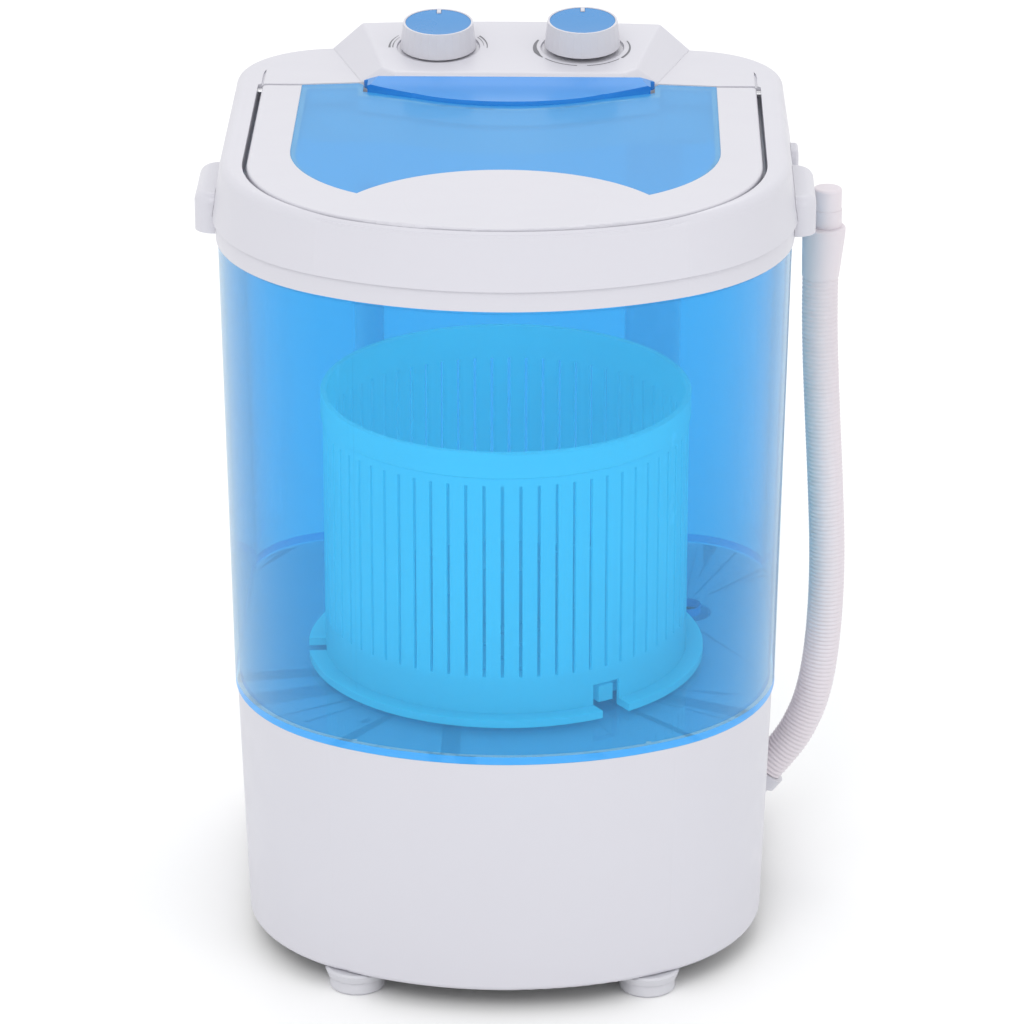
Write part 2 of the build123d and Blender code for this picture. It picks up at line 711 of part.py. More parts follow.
with BuildPart() as motor_casing:
    with Locations((0, MOTOR_Y, MOTOR_Z)):
        Cylinder(MOTOR_RADIUS, MOTOR_HEIGHT, align=(Align.CENTER, Align.CENTER, Align.MIN))
    fillet(motor_casing.edges().filter_by(GeomType.CIRCLE), 4.0)
    with Locations((0, MOTOR_Y, MOTOR_Z + MOTOR_WALL)):
        Cylinder(
            MOTOR_RADIUS - MOTOR_WALL,
            MOTOR_HEIGHT - 2 * MOTOR_WALL,
            align=(Align.CENTER, Align.CENTER, Align.MIN),
            mode=Mode.SUBTRACT,
        )
    # Bearing seats in both end walls
    for seat_z in (MOTOR_Z, MOTOR_TOP_Z - 7.0):
        with Locations((0, MOTOR_Y, seat_z)):
            Cylinder(9.0, 7.0, align=(Align.CENTER, Align.CENTER, Align.MIN))
    with Locations((0, MOTOR_Y, MOTOR_TOP_Z)):
        Hole(MOTOR_SHAFT_RADIUS + RUNNING_GAP, MOTOR_HEIGHT)
    # Cooling slots round the casing
    with Locations((0, MOTOR_Y, MOTOR_TOP_Z - 9.0)):
        with PolarLocations(MOTOR_RADIUS - 2, 10, start_angle=18):
            Box(8.0, 9.0, 5.0, mode=Mode.SUBTRACT)
saved(motor_casing.part, "motor_casing")

with BuildPart() as motor_stator:
    with BuildSketch(Plane.XY.offset(STATOR_Z)):
        with Locations((0, MOTOR_Y)):
            Circle(MOTOR_RADIUS - MOTOR_WALL)
            Circle(STATOR_BORE, mode=Mode.SUBTRACT)
    extrude(amount=STATOR_HEIGHT)
saved(motor_stator.part, "motor_stator")

with BuildPart() as motor_rotor:
    with BuildSketch(Plane.XY.offset(STATOR_Z + 1)):
        with Locations((0, MOTOR_Y)):
            Circle(ROTOR_RADIUS)
            Circle(MOTOR_SHAFT_RADIUS, mode=Mode.SUBTRACT)
    extrude(amount=STATOR_HEIGHT - 2)
saved(motor_rotor.part, "motor_rotor")

with BuildPart() as motor_shaft:
    with Locations((0, MOTOR_Y, PULLEY_Z - 3.0)):
        Cylinder(
            MOTOR_SHAFT_RADIUS,
            MOTOR_TOP_Z + 2.0 - PULLEY_Z + 3.0,
            align=(Align.CENTER, Align.CENTER, Align.MIN),
        )
    chamfer(motor_shaft.edges().filter_by(GeomType.CIRCLE), 0.6)
saved(motor_shaft.part, "motor_shaft")

with BuildPart() as motor_bracket:
    with BuildSketch(Plane.XY.offset(BRACKET_Z)):
        with Locations((0, MOTOR_Y)):
            RectangleRounded(2 * MOTOR_BOLT_X + 18, 2 * MOTOR_BOLT_X + 18, 8.0)
            Circle(14.0, mode=Mode.SUBTRACT)
        with Locations(*POST_PLACES):
            Circle(2.2, mode=Mode.SUBTRACT)
    extrude(amount=BRACKET_THICKNESS)
saved(motor_bracket.part, "motor_bracket")
saved(screw_group(POST_PLACES, MOTOR_Z, 14.0, 1.9, 4.0, direction=-1), "motor_screws")

CAPACITOR_X = -98.0
CAPACITOR_Y = -62.0
CAPACITOR_RADIUS = 17.0
CAPACITOR_HEIGHT = 62.0

with BuildPart() as motor_capacitor:
    with Locations((CAPACITOR_X, CAPACITOR_Y, PLATE_TOP_Z + 2.0)):
        Cylinder(CAPACITOR_RADIUS, CAPACITOR_HEIGHT, align=(Align.CENTER, Align.CENTER, Align.MIN))
    fillet(motor_capacitor.edges().filter_by(GeomType.CIRCLE), 1.5)
    with Locations((CAPACITOR_X, CAPACITOR_Y, PLATE_TOP_Z + 2.0 + CAPACITOR_HEIGHT)):
        with GridLocations(14.0, 1.0, 2, 1):
            Box(6.3, 0.8, 9.0, align=(Align.CENTER, Align.CENTER, Align.MIN))
saved(motor_capacitor.part, "motor_capacitor")

with BuildPart() as capacitor_clip:
    with BuildSketch(Plane.XY.offset(PLATE_TOP_Z)):
        with Locations((CAPACITOR_X, CAPACITOR_Y)):
            Circle(CAPACITOR_RADIUS + 2.2)
    extrude(amount=18.0)
    with Locations((CAPACITOR_X, CAPACITOR_Y, PLATE_TOP_Z)):
        Box(62.0, 14.0, 3.0, align=(Align.CENTER, Align.CENTER, Align.MIN))
    with Locations((CAPACITOR_X, CAPACITOR_Y, PLATE_TOP_Z + 1.7)):
        Cylinder(
            CAPACITOR_RADIUS + 0.2,
            20.0,
            align=(Align.CENTER, Align.CENTER, Align.MIN),
            mode=Mode.SUBTRACT,
        )
saved(capacitor_clip.part, "capacitor_clip")

# ---------------------------------------------------------------------------
# Pulsator and spin basket
# ---------------------------------------------------------------------------

HUB_RADIUS = 13.0
HUB_TOP_Z = 204.0
VANE_COUNT = 6
PULSATOR_RIM = 3.0
PULSATOR_PLATE = 3.0

with BuildPart() as pulsator:
    with BuildSketch(Plane.XZ):
        with BuildLine():
            Polyline(
                (SHAFT_RADIUS, PULSATOR_Z),
                (HUB_RADIUS + 4, PULSATOR_Z),
                (HUB_RADIUS + 4, PULSATOR_Z + 6),
                (PULSATOR_RADIUS - PULSATOR_RIM, PULSATOR_Z + 2),
                (PULSATOR_RADIUS - PULSATOR_RIM, PULSATOR_Z),
                (PULSATOR_RADIUS, PULSATOR_Z),
                (PULSATOR_RADIUS, PULSATOR_Z + 2 + PULSATOR_PLATE),
                (HUB_RADIUS + 6, PULSATOR_Z + 6 + PULSATOR_PLATE),
                (HUB_RADIUS, PULSATOR_TOP_Z),
                (HUB_RADIUS - 2, HUB_TOP_Z),
                (SHAFT_RADIUS, HUB_TOP_Z),
                close=True,
            )
        make_face()
    revolve(axis=Axis.Z)
    # Curved vanes on the plate
    with BuildSketch(Plane.XY.offset(PULSATOR_Z + 4)) as vane:
        with BuildLine():
            outer = ThreePointArc((HUB_RADIUS, -3), (48, 8), (PULSATOR_RADIUS - 8, 4))
            Line(outer @ 1, (PULSATOR_RADIUS - 8, 1))
            inner = ThreePointArc((PULSATOR_RADIUS - 8, 1), (48, 1), (HUB_RADIUS, -7))
            Line(inner @ 1, outer @ 0)
        make_face()
    vane_solid = extrude(vane.sketch, amount=PULSATOR_TOP_Z - PULSATOR_Z - 4, mode=Mode.PRIVATE)
    for number in range(VANE_COUNT):
        add(vane_solid.rotate(Axis.Z, number * 360 / VANE_COUNT))
    # Driving lugs that reach out through the basket's notches
    for angle in LUG_ANGLES:
        lug_reach = BASKET_RADIUS - 0.8
        with BuildSketch(Plane.XY.offset(PULSATOR_Z)) as lug:
            with Locations(((PULSATOR_RADIUS - 8 + lug_reach) / 2, 0)):
                Rectangle(lug_reach - PULSATOR_RADIUS + 8, LUG_WIDTH)
        lug_solid = extrude(lug.sketch, amount=10.0, mode=Mode.PRIVATE)
        add(lug_solid.rotate(Axis.Z, angle))
saved(pulsator.part.moved(Location((0, DRIVE_Y, 0))), "pulsator")

with BuildPart() as pulsator_screw:
    with Locations((0, DRIVE_Y, SHAFT_TOP_Z)):
        Cylinder(SHAFT_RADIUS, HUB_TOP_Z - SHAFT_TOP_Z, align=(Align.CENTER, Align.CENTER, Align.MIN))
    with Locations((0, DRIVE_Y, HUB_TOP_Z)):
        Cylinder(8.0, 3.0, align=(Align.CENTER, Align.CENTER, Align.MIN))
    fillet(pulsator_screw.edges().group_by(Axis.Z)[-1], 1.2)
    with Locations((0, DRIVE_Y, HUB_TOP_Z + 3.0)):
        Box(10.0, 1.6, 2.4, mode=Mode.SUBTRACT)
        Box(1.6, 10.0, 2.4, mode=Mode.SUBTRACT)
saved(pulsator_screw.part, "pulsator_screw")

CONE_TOP_Z = 224.0
FLOOR_HOLE_ROWS = ((38.0, 12), (56.0, 18), (74.0, 24), (91.0, 30))

with BuildPart() as spin_basket:
    inner_radius = BASKET_RADIUS - BASKET_WALL
    with BuildSketch(Plane.XZ):
        with BuildLine():
            Polyline(
                (inner_radius, BASKET_Z),
                (BASKET_FLANGE_RADIUS, BASKET_Z),
                (BASKET_FLANGE_RADIUS, BASKET_Z + BASKET_FLANGE_HEIGHT),
                (BASKET_RADIUS, BASKET_Z + BASKET_FLANGE_HEIGHT),
                (BASKET_RADIUS, BASKET_TOP_Z - BASKET_RIM_HEIGHT),
                (BASKET_RADIUS + 1.2, BASKET_TOP_Z - BASKET_RIM_HEIGHT + 1),
                (BASKET_RADIUS + 1.2, BASKET_TOP_Z),
                (inner_radius, BASKET_TOP_Z),
                (inner_radius, BASKET_FLOOR_Z + 3),
                (26.0, BASKET_FLOOR_Z + 3),
                (19.0, CONE_TOP_Z),
                (0.0, CONE_TOP_Z + 3),
                (0.0, CONE_TOP_Z),
                (16.5, CONE_TOP_Z - 2.5),
                (23.0, BASKET_FLOOR_Z),
                (inner_radius, BASKET_FLOOR_Z),
                close=True,
            )
        make_face()
    revolve(axis=Axis.Z)
    fillet(spin_basket.edges().group_by(Axis.Z)[-1], 1.0)
    # Drain slots round the wall
    slot_height = SLOT_HIGH_Z - SLOT_LOW_Z
    with Locations((0, 0, (SLOT_LOW_Z + SLOT_HIGH_Z) / 2)):
        with PolarLocations(BASKET_RADIUS - BASKET_WALL / 2, SLOT_COUNT):
            Box(BASKET_WALL + 4, SLOT_WIDTH, slot_height, mode=Mode.SUBTRACT)
    # Drain holes in the floor
    for radius, count in FLOOR_HOLE_ROWS:
        with Locations((0, 0, BASKET_FLOOR_Z)):
            with PolarLocations(radius, count):
                Cylinder(2.5, 8.0, mode=Mode.SUBTRACT)
    # Notches that drop over the pulsator's lugs
    for angle in LUG_ANGLES:
        with BuildSketch(Plane.XY.offset(BASKET_Z - 1)) as notch:
            with Locations((BASKET_RADIUS, 0)):
                Rectangle(3 * BASKET_WALL + 22, LUG_NOTCH_WIDTH)
        notch_height = LUG_NOTCH_TOP_Z - BASKET_Z + 1
        notch_solid = extrude(notch.sketch, amount=notch_height, mode=Mode.PRIVATE)
        add(notch_solid.rotate(Axis.Z, angle), mode=Mode.SUBTRACT)
saved(spin_basket.part.moved(Location((0, DRIVE_Y, 0))), "spin_basket")

# ---------------------------------------------------------------------------
# White top housing: lip, band, deck, lid pocket and electrical bay
# ---------------------------------------------------------------------------

BAY_FRONT_Y = LID_REAR_Y + LID_WING_RISE + LID_REAR_GAP + 0.4
BAY_LOW_Z = LIP_Z + 8.0
BAY_WALL = 2.5
BAY_HALF_WIDTH = 118.0
COLLAR_DEPTH = 14.0
HINGE_BLOCK_X = 151.0
HINGE_BORE_LENGTH = 12.0
REAR_LINE_DEPTH = 1.0
REAR_LINE_WIDTH = 1.4
REAR_LINE_LENGTH = 60.0
PANEL_PLANE_SLOPE = tan(radians(PANEL_TILT))
LENS_SEAT_Z = DECK_Z - 3.3
LENS_SHELF = 6.0
POCKET_WALL = 2.5


def opening_plan(z, grow=0.0):
    """Plan of the loading opening, notched at the rear for the lens's tongue."""
    outline = lid_plan(0, OPENING_INSET - grow)
    with BuildSketch() as plan:
        add(outline)
        add(lens_plan(0, LENS_SHELF - grow), mode=Mode.SUBTRACT)
    return plan.sketch.moved(Location((0, 0, z)))


with BuildPart() as top_housing:
    body_between((STEP_Z, BAND_FOOT_INSET), (DECK_Z, RIM_INSET))
    fillet(top_housing.edges().group_by(Axis.Z)[-1], 6.0)
    deck_low_z = DECK_Z - 3.5
    body_between(
        (STEP_Z - 1, BAND_FOOT_INSET + BAND_WALL),
        (deck_low_z, RIM_INSET + BAND_WALL),
        mode=Mode.SUBTRACT,
    )
    # Lip under the band, joined by the step
    body_between((LIP_Z, 0.0), (STEP_Z + 2, 0.0))
    body_between((LIP_Z - 1, BAND_WALL), (STEP_Z + 3, BAND_WALL), mode=Mode.SUBTRACT)
    # Walls and floor of the pocket that the lid closes into
    pocket_low_z = POCKET_Z - LEDGE_THICKNESS
    pocket_outside = lid_plan(pocket_low_z, -LID_GAP - POCKET_WALL, -LID_REAR_GAP - POCKET_WALL)
    extrude(pocket_outside, amount=deck_low_z - pocket_low_z + 1)
    pocket_inside = lid_plan(POCKET_Z, -LID_GAP, -LID_REAR_GAP)
    extrude(pocket_inside, amount=DECK_Z - POCKET_Z + 5, mode=Mode.SUBTRACT)
    extrude(opening_plan(POCKET_Z - COLLAR_DEPTH, 2.5), amount=COLLAR_DEPTH - 0.5)
    extrude(opening_plan(POCKET_Z - COLLAR_DEPTH - 1), amount=COLLAR_DEPTH + 2, mode=Mode.SUBTRACT)
    # Tongue that carries the lens
    tongue_rear_y = LID_REAR_Y + 2 * LID_WING_RISE
    extrude(lens_plan(POCKET_Z - 1, -0.5, tongue_rear_y), amount=DECK_Z - POCKET_Z + 1)
    extrude(lens_footprint(LENS_SEAT_Z, 0.2), amount=DECK_Z - LENS_SEAT_Z + 1, mode=Mode.SUBTRACT)
    # Solid blocks for the hinge pins
    for side in (-1, 1):
        with Locations((side * (HINGE_BLOCK_X + 4.0), HINGE_Y, deck_low_z - 3.0)):
            Box(8.0, 14.0, 9.0)
        with Locations(Location((side * (HINGE_BLOCK_X + 0.5), HINGE_Y, HINGE_Z), (0, 90, 0))):
            Cylinder(HINGE_PIN_RADIUS + RUNNING_GAP, HINGE_BORE_LENGTH, mode=Mode.SUBTRACT)
    # Bay for the switch and the timer
    bay_depth = BODY_HALF_DEPTH - BAY_FRONT_Y
    with BuildSketch(Plane.XY.offset(BAY_LOW_Z)):
        with Locations((0, (BAY_FRONT_Y + BODY_HALF_DEPTH) / 2)):
            Rectangle(2 * BAY_HALF_WIDTH, bay_depth)
        add(body_plan(0, NECK_INSET + DRUM_WALL + 0.6), mode=Mode.INTERSECT)
    extrude(amount=deck_low_z - BAY_LOW_Z + 1)
    with BuildSketch(Plane.XY.offset(BAY_LOW_Z + BAY_WALL)):
        with Locations((0, (BAY_FRONT_Y + BODY_HALF_DEPTH) / 2 + BAY_WALL)):
            Rectangle(2 * (BAY_HALF_WIDTH - BAY_WALL), bay_depth)
        add(body_plan(0, NECK_INSET + DRUM_WALL + 0.6 + BAY_WALL), mode=Mode.INTERSECT)
    extrude(amount=deck_low_z - BAY_LOW_Z - BAY_WALL + 1, mode=Mode.SUBTRACT)
    with BuildSketch(Plane.XY.offset(deck_low_z - 1)):
        with Locations((0, KNOB_Y)):
            RectangleRounded(152.0, 62.0, 6.0)
    extrude(amount=8.0, mode=Mode.SUBTRACT)
    # Shallow line that carries the lid's outline on round the rear of the deck
    with BuildSketch(Plane.XY.offset(DECK_Z - REAR_LINE_DEPTH)) as rear_line:
        with Locations((0, LID_REAR_Y + REAR_LINE_LENGTH / 2)):
            Rectangle(2 * LID_HALF_WIDTH + REAR_LINE_WIDTH, REAR_LINE_LENGTH)
        fillet(rear_line.vertices().group_by(Axis.Y)[-1], REAR_LINE_LENGTH - 20.0)
        with Locations((0, LID_REAR_Y)):
            Rectangle(2 * LID_HALF_WIDTH - REAR_LINE_WIDTH, 4 * REAR_LINE_LENGTH, mode=Mode.SUBTRACT)
    extrude(amount=2 * REAR_LINE_DEPTH, mode=Mode.SUBTRACT)
saved(top_housing.part, "top_housing")

# ---------------------------------------------------------------------------
# Lid
# ---------------------------------------------------------------------------

LID_LOW_Z = DECK_Z - LID_DEPTH
FRAME_WALL = 2.4
KNUCKLE_X = 139.5
KNUCKLE_WIDTH = 9.0
DISH_DEPTH = 1.6
DISH_SPHERE_RADIUS = 900.0
WINDOW_LEDGE = 3.0
WINDOW_FIT = 0.15

with BuildPart() as lid_frame:
    extrude(lid_plan(LID_LOW_Z, 0.0), amount=LID_DEPTH)
    top_edges = lid_frame.edges().group_by(Axis.Z)[-1]
    fillet(top_edges, 1.6)
    extrude(notch_plan(LID_LOW_Z - 1), amount=LID_DEPTH + 2, mode=Mode.SUBTRACT)
    # Hollow underside
    with BuildSketch(Plane.XY.offset(LID_LOW_Z - 1)):
        add(lid_plan(0, FRAME_WALL))
        add(notch_plan(0, FRAME_WALL), mode=Mode.SUBTRACT)
    extrude(amount=LID_DEPTH - LID_SHEET + 1, mode=Mode.SUBTRACT)
    # Window opening with a rebate for the window
    through = window_plan(-WINDOW_LEDGE).moved(Location((0, 0, LID_LOW_Z - 1)))
    extrude(through, amount=LID_DEPTH + 2, mode=Mode.SUBTRACT)
    rebate = window_plan(WINDOW_FIT).moved(Location((0, 0, DECK_Z - WINDOW_SEAT_DEPTH)))
    extrude(rebate, amount=2 * WINDOW_SEAT_DEPTH, mode=Mode.SUBTRACT)
    # Shallow finger dish in the white crescent at the front
    with Locations((0, CRESCENT_Y + 42.0, DECK_Z - DISH_DEPTH + DISH_SPHERE_RADIUS)):
        Sphere(DISH_SPHERE_RADIUS, mode=Mode.SUBTRACT)
    # Hinge knuckles in the rear corners
    for side in (-1, 1):
        with Locations((side * KNUCKLE_X, HINGE_Y - 2.2, HINGE_Z - 1.0)):
            Box(KNUCKLE_WIDTH, 9.0, 7.0)
        with Locations(Location((side * KNUCKLE_X, HINGE_Y, HINGE_Z), (0, 90, 0))):
            Cylinder(HINGE_PIN_RADIUS, 2 * KNUCKLE_WIDTH, mode=Mode.SUBTRACT)
saved(lid_frame.part, "lid_frame")

with BuildPart() as lid_window:
    sheet = window_plan().moved(Location((0, 0, DECK_Z - WINDOW_SEAT_DEPTH)))
    extrude(sheet, amount=WINDOW_SEAT_DEPTH - 0.1)
    step = window_plan(-WINDOW_LEDGE - 0.2).moved(Location((0, 0, DECK_Z - 2 * WINDOW_SEAT_DEPTH)))
    extrude(step, amount=WINDOW_SEAT_DEPTH + 0.5)
saved(lid_window.part, "lid_window")

PIN_LENGTH = 20.0

with BuildPart() as lid_hinge_pins:
    for side in (-1, 1):
        pin_x = KNUCKLE_X - KNUCKLE_WIDTH / 2 + PIN_LENGTH / 2
        with Locations(Location((side * pin_x, HINGE_Y, HINGE_Z), (0, 90, 0))):
            Cylinder(HINGE_PIN_RADIUS, PIN_LENGTH - 2.0)
saved(lid_hinge_pins.part, "lid_hinge_pins")

BUMPER_X = 138.0
BUMPER_YS = (0.0, 60.0)

with BuildPart() as lid_bumpers:
    with Locations(*[(x, y, POCKET_Z) for x in (-BUMPER_X, BUMPER_X) for y in BUMPER_YS]):
        Cylinder(3.0, LID_LOW_Z - POCKET_Z - FIT_GAP, align=(Align.CENTER, Align.CENTER, Align.MIN))
saved(lid_bumpers.part, "lid_bumpers")

# Clear lens fixed in front of the control panel
LENS_LOW_Z = DECK_Z - 3.0
LENS_FRONT_Y = LENS_Y - LENS_RADIUS
LENS_FRONT_Z = DECK_Z + 2.2
LENS_MIDDLE_Y = 80.0
LENS_MIDDLE_Z = DECK_Z + 3.6
LENS_SLOPE_X = 66.0
LENS_END_X = LENS_FLARE_X + 4.0
LENS_END_Z = DECK_Z + 0.8

with BuildPart() as splash_lens:
    extrude(lens_footprint(LENS_LOW_Z), amount=PANEL_FRONT_Z + 4 - LENS_LOW_Z)
    # Keep what lies under the top, which sweeps up to the panel's front edge
    with BuildSketch(Plane.YZ):
        with BuildLine():
            sweep_up = ThreePointArc(
                (LENS_FRONT_Y - 1, LENS_FRONT_Z),
                (LENS_MIDDLE_Y, LENS_MIDDLE_Z),
                (LENS_REAR_Y + 1, PANEL_FRONT_Z + 0.6),
            )
            Polyline(
                sweep_up @ 1,
                (LENS_REAR_Y + 1, LENS_LOW_Z - 1),
                (LENS_FRONT_Y - 1, LENS_LOW_Z - 1),
                sweep_up @ 0,
            )
        make_face()
    extrude(amount=2 * LENS_RADIUS, both=True, mode=Mode.INTERSECT)
    # The ends run down to the deck beside the panel's front corners
    with BuildSketch(Plane.XZ):
        with BuildLine():
            Polyline(
                (-LENS_END_X, LENS_LOW_Z - 1),
                (-LENS_END_X, LENS_END_Z),
                (-LENS_SLOPE_X, PANEL_FRONT_Z + 4),
                (LENS_SLOPE_X, PANEL_FRONT_Z + 4),
                (LENS_END_X, LENS_END_Z),
                (LENS_END_X, LENS_LOW_Z - 1),
                close=True,
            )
        make_face()
    extrude(amount=2 * LENS_REAR_Y, both=True, mode=Mode.INTERSECT)
saved(splash_lens.part, "splash_lens")

# ---------------------------------------------------------------------------
# Control panel with its two knobs, the selector switch and the timer
# ---------------------------------------------------------------------------

PANEL_FRONT_LEAN = 1.494
PANEL_REAR_LEAN = 1.104
PANEL_SIDE_DRAW = 1.6
PANEL_BLANK_HEIGHT = 24.0
PANEL_LOW_Z = DECK_Z + 0.1
PANEL_ORIGIN = (0, PANEL_FRONT_Y, PANEL_FRONT_Z)
PANEL_NORMAL = Vector(0, -sin(radians(PANEL_TILT)), cos(radians(PANEL_TILT)))


def panel_block(shrink):
    """The raised panel as a solid, all its faces moved in by shrink."""
    foot_z = PANEL_LOW_Z - (1.0 if shrink else 0.0)
    outlines = []
    for z in (PANEL_LOW_Z, PANEL_LOW_Z + PANEL_BLANK_HEIGHT):
        rise = z - PANEL_LOW_Z
        nose, corner = panel_corners(shrink, PANEL_FRONT_LEAN * rise)
        rear_x = PANEL_REAR_X - PANEL_REAR_LEAN * rise - PANEL_SIDE_DRAW * shrink
        with BuildSketch(Plane.XY.offset(z)) as outline:
            with BuildLine():
                Polyline(
                    (-corner[0], corner[1]),
                    (-nose[0], nose[1]),
                    nose,
                    corner,
                    (rear_x, PANEL_REAR_Y - shrink),
                    (-rear_x, PANEL_REAR_Y - shrink),
                    close=True,
                )
            make_face()
        outlines.append(outline.sketch)
    with BuildPart() as block:
        loft(sections=outlines, ruled=True)
        body_low = (foot_z - 1, RIM_INSET + 0.6 + shrink)
        body_high = (DECK_Z + 40, RIM_INSET + 3 + shrink)
        body_between(body_low, body_high, mode=Mode.INTERSECT)
        top = Plane(
            origin=Vector(*PANEL_ORIGIN) - PANEL_NORMAL * shrink,
            x_dir=(1, 0, 0),
            z_dir=tuple(PANEL_NORMAL),
        )
        split(bisect_by=top, keep=Keep.BOTTOM)
        if not shrink:
            side_edges = block.edges().filter_by(lambda e: abs(e.center().Z - DECK_Z) > 2.0)
            fillet(side_edges, 3.6)
    return block.part


def knob_plane(side, lift=0.0):
    """Plane of the panel's top face under one knob, lifted along the knob's axis."""
    foot_z = PANEL_FRONT_Z + (KNOB_Y - PANEL_FRONT_Y) * PANEL_PLANE_SLOPE
    origin = Vector(side * KNOB_X, KNOB_Y, foot_z) + PANEL_NORMAL * lift
    return Plane(origin=origin, x_dir=(1, 0, 0), z_dir=tuple(PANEL_NORMAL))


with BuildPart() as control_panel:
    add(panel_block(0.0))
    add(panel_block(PANEL_WALL), mode=Mode.SUBTRACT)
    for side in (-1, 1):
        with BuildSketch(knob_plane(side)):
            Circle(DISH_RADIUS)
        extrude(amount=-1.2, mode=Mode.SUBTRACT, taper=20)
        with BuildSketch(knob_plane(side, 2.0)):
            Circle(4.6)
        extrude(amount=-12.0, mode=Mode.SUBTRACT)
saved(control_panel.part, "control_panel")


def knob_body(side, lift):
    """Facetted knob with a recess for its cap, a hub and a pointer rib."""
    with BuildPart() as knob:
        with BuildSketch(knob_plane(side, lift)):
            RegularPolygon(KNOB_FOOT_RADIUS, KNOB_FACETS)
        with BuildSketch(knob_plane(side, lift + KNOB_HEIGHT)):
            RegularPolygon(KNOB_TOP_RADIUS, KNOB_FACETS)
        loft(ruled=True)
        with BuildSketch(knob_plane(side, lift - 0.1)):
            Circle(KNOB_FOOT_RADIUS - 2.6)
            Circle(6.5, mode=Mode.SUBTRACT)
        extrude(amount=KNOB_HEIGHT - 5.0, mode=Mode.SUBTRACT)
        with BuildSketch(knob_plane(side, lift + KNOB_HEIGHT - 2.2)):
            Circle(KNOB_CAP_RADIUS)
            with Locations((0, KNOB_CAP_RADIUS - 2.0)):
                Rectangle(2.4, 6.4, mode=Mode.SUBTRACT)
        extrude(amount=4.0, mode=Mode.SUBTRACT)
        with BuildSketch(knob_plane(side, lift - 0.5)):
            Circle(3.0)
        extrude(amount=KNOB_HEIGHT - 4.0, mode=Mode.SUBTRACT)
    return knob.part


def knob_cap(side, lift):
    """Thin coloured cap, gently dished, notched for the pointer."""
    with BuildPart() as cap:
        with BuildSketch(knob_plane(side, lift + KNOB_HEIGHT - 2.2)):
            Circle(KNOB_CAP_RADIUS - 0.1)
            with Locations((0, KNOB_CAP_RADIUS - 2.0)):
                Rectangle(2.8, 6.8, mode=Mode.SUBTRACT)
        extrude(amount=1.9)
        dish_centre = knob_plane(side, lift + KNOB_HEIGHT - 1.0 + 260.0).origin
        with Locations(Location(dish_centre)):
            Sphere(260.0, mode=Mode.SUBTRACT)
    return cap.part


def turned_shaft(side, lift, depth):
    """Shaft from inside the knob down into its switch."""
    with BuildPart() as shaft:
        with BuildSketch(knob_plane(side, lift + KNOB_HEIGHT - 5.0)):
            Circle(3.0)
        extrude(amount=-depth)
    return shaft.part


def switch_case(side, radius, height, collar):
    """Round switch or timer case hung under the panel, with a threaded collar."""
    with BuildPart() as case:
        with BuildSketch(knob_plane(side, -PANEL_WALL - 0.3)):
            Circle(radius)
        extrude(amount=-height)
        fillet(case.edges().filter_by(GeomType.CIRCLE), 1.5)
        with BuildSketch(knob_plane(side, -PANEL_WALL - 0.4)):
            Circle(collar)
        extrude(amount=3.0)
        with BuildSketch(knob_plane(side, 4.0)):
            Circle(3.0 + RUNNING_GAP)
        extrude(amount=-height - 2.0, mode=Mode.SUBTRACT)
        for x in (-6.0, 6.0):
            with BuildSketch(knob_plane(side, -PANEL_WALL - 0.3 - height)):
                with Locations((x, 0)):
                    Rectangle(0.8, 6.3)
            extrude(amount=-7.0)
    return case.part


PROGRAMME_LIFT = 0.4
TIMER_LIFT = 2.0
saved(knob_body(-1, PROGRAMME_LIFT), "programme_knob")
saved(knob_cap(-1, PROGRAMME_LIFT), "programme_knob_cap")
saved(turned_shaft(-1, PROGRAMME_LIFT, 26.0), "programme_shaft")
saved(switch_case(-1, 15.0, 18.0, 4.5), "programme_switch")
saved(knob_body(1, TIMER_LIFT), "timer_knob")
saved(knob_cap(1, TIMER_LIFT), "timer_knob_cap")
saved(turned_shaft(1, TIMER_LIFT, 30.0), "timer_shaft")
saved(switch_case(1, 24.0, 26.0, 4.5), "timer_case")

# ---------------------------------------------------------------------------
# Handles on the band, hose hook
# ---------------------------------------------------------------------------

HANDLE_WALL = 3.2
HANDLE_ROOT_X = 158.0


def handle(side):
    """Open-bottomed grip: fingers reach up behind its outer wall."""
    width = HANDLE_REACH - HANDLE_ROOT_X
    length = HANDLE_REAR_Y - HANDLE_FRONT_Y
    middle = (side * (HANDLE_ROOT_X + width / 2), (HANDLE_FRONT_Y + HANDLE_REAR_Y) / 2)
    with BuildPart() as grip:
        with BuildSketch(Plane.XY.offset(HANDLE_LOW_Z)) as plan:
            with Locations(middle):
                Rectangle(width, length)
            outer = plan.vertices().group_by(Axis.X)[-1 if side > 0 else 0]
            fillet(outer, 11.0)
        extrude(amount=HANDLE_TOP_Z - HANDLE_LOW_Z)
        fillet(grip.edges().group_by(Axis.Z)[-1], 6.0)
        with BuildSketch(Plane.XY.offset(HANDLE_LOW_Z - 1)):
            with Locations((side * (HANDLE_REACH - HANDLE_WALL - 10.0), middle[1])):
                RectangleRounded(20.0, length - 2 * HANDLE_WALL - 4, 3.0)
        extrude(amount=HANDLE_TOP_Z - HANDLE_LOW_Z - 3.0, mode=Mode.SUBTRACT)
        body_between((STEP_Z, BAND_FOOT_INSET - 0.1), (DECK_Z, RIM_INSET - 0.1), mode=Mode.SUBTRACT)
        body_between((LIP_Z - 5, -0.1), (STEP_Z + 0.5, -0.1), mode=Mode.SUBTRACT)
    return grip.part


saved(handle(-1), "handle_left")
saved(handle(1), "handle_right")

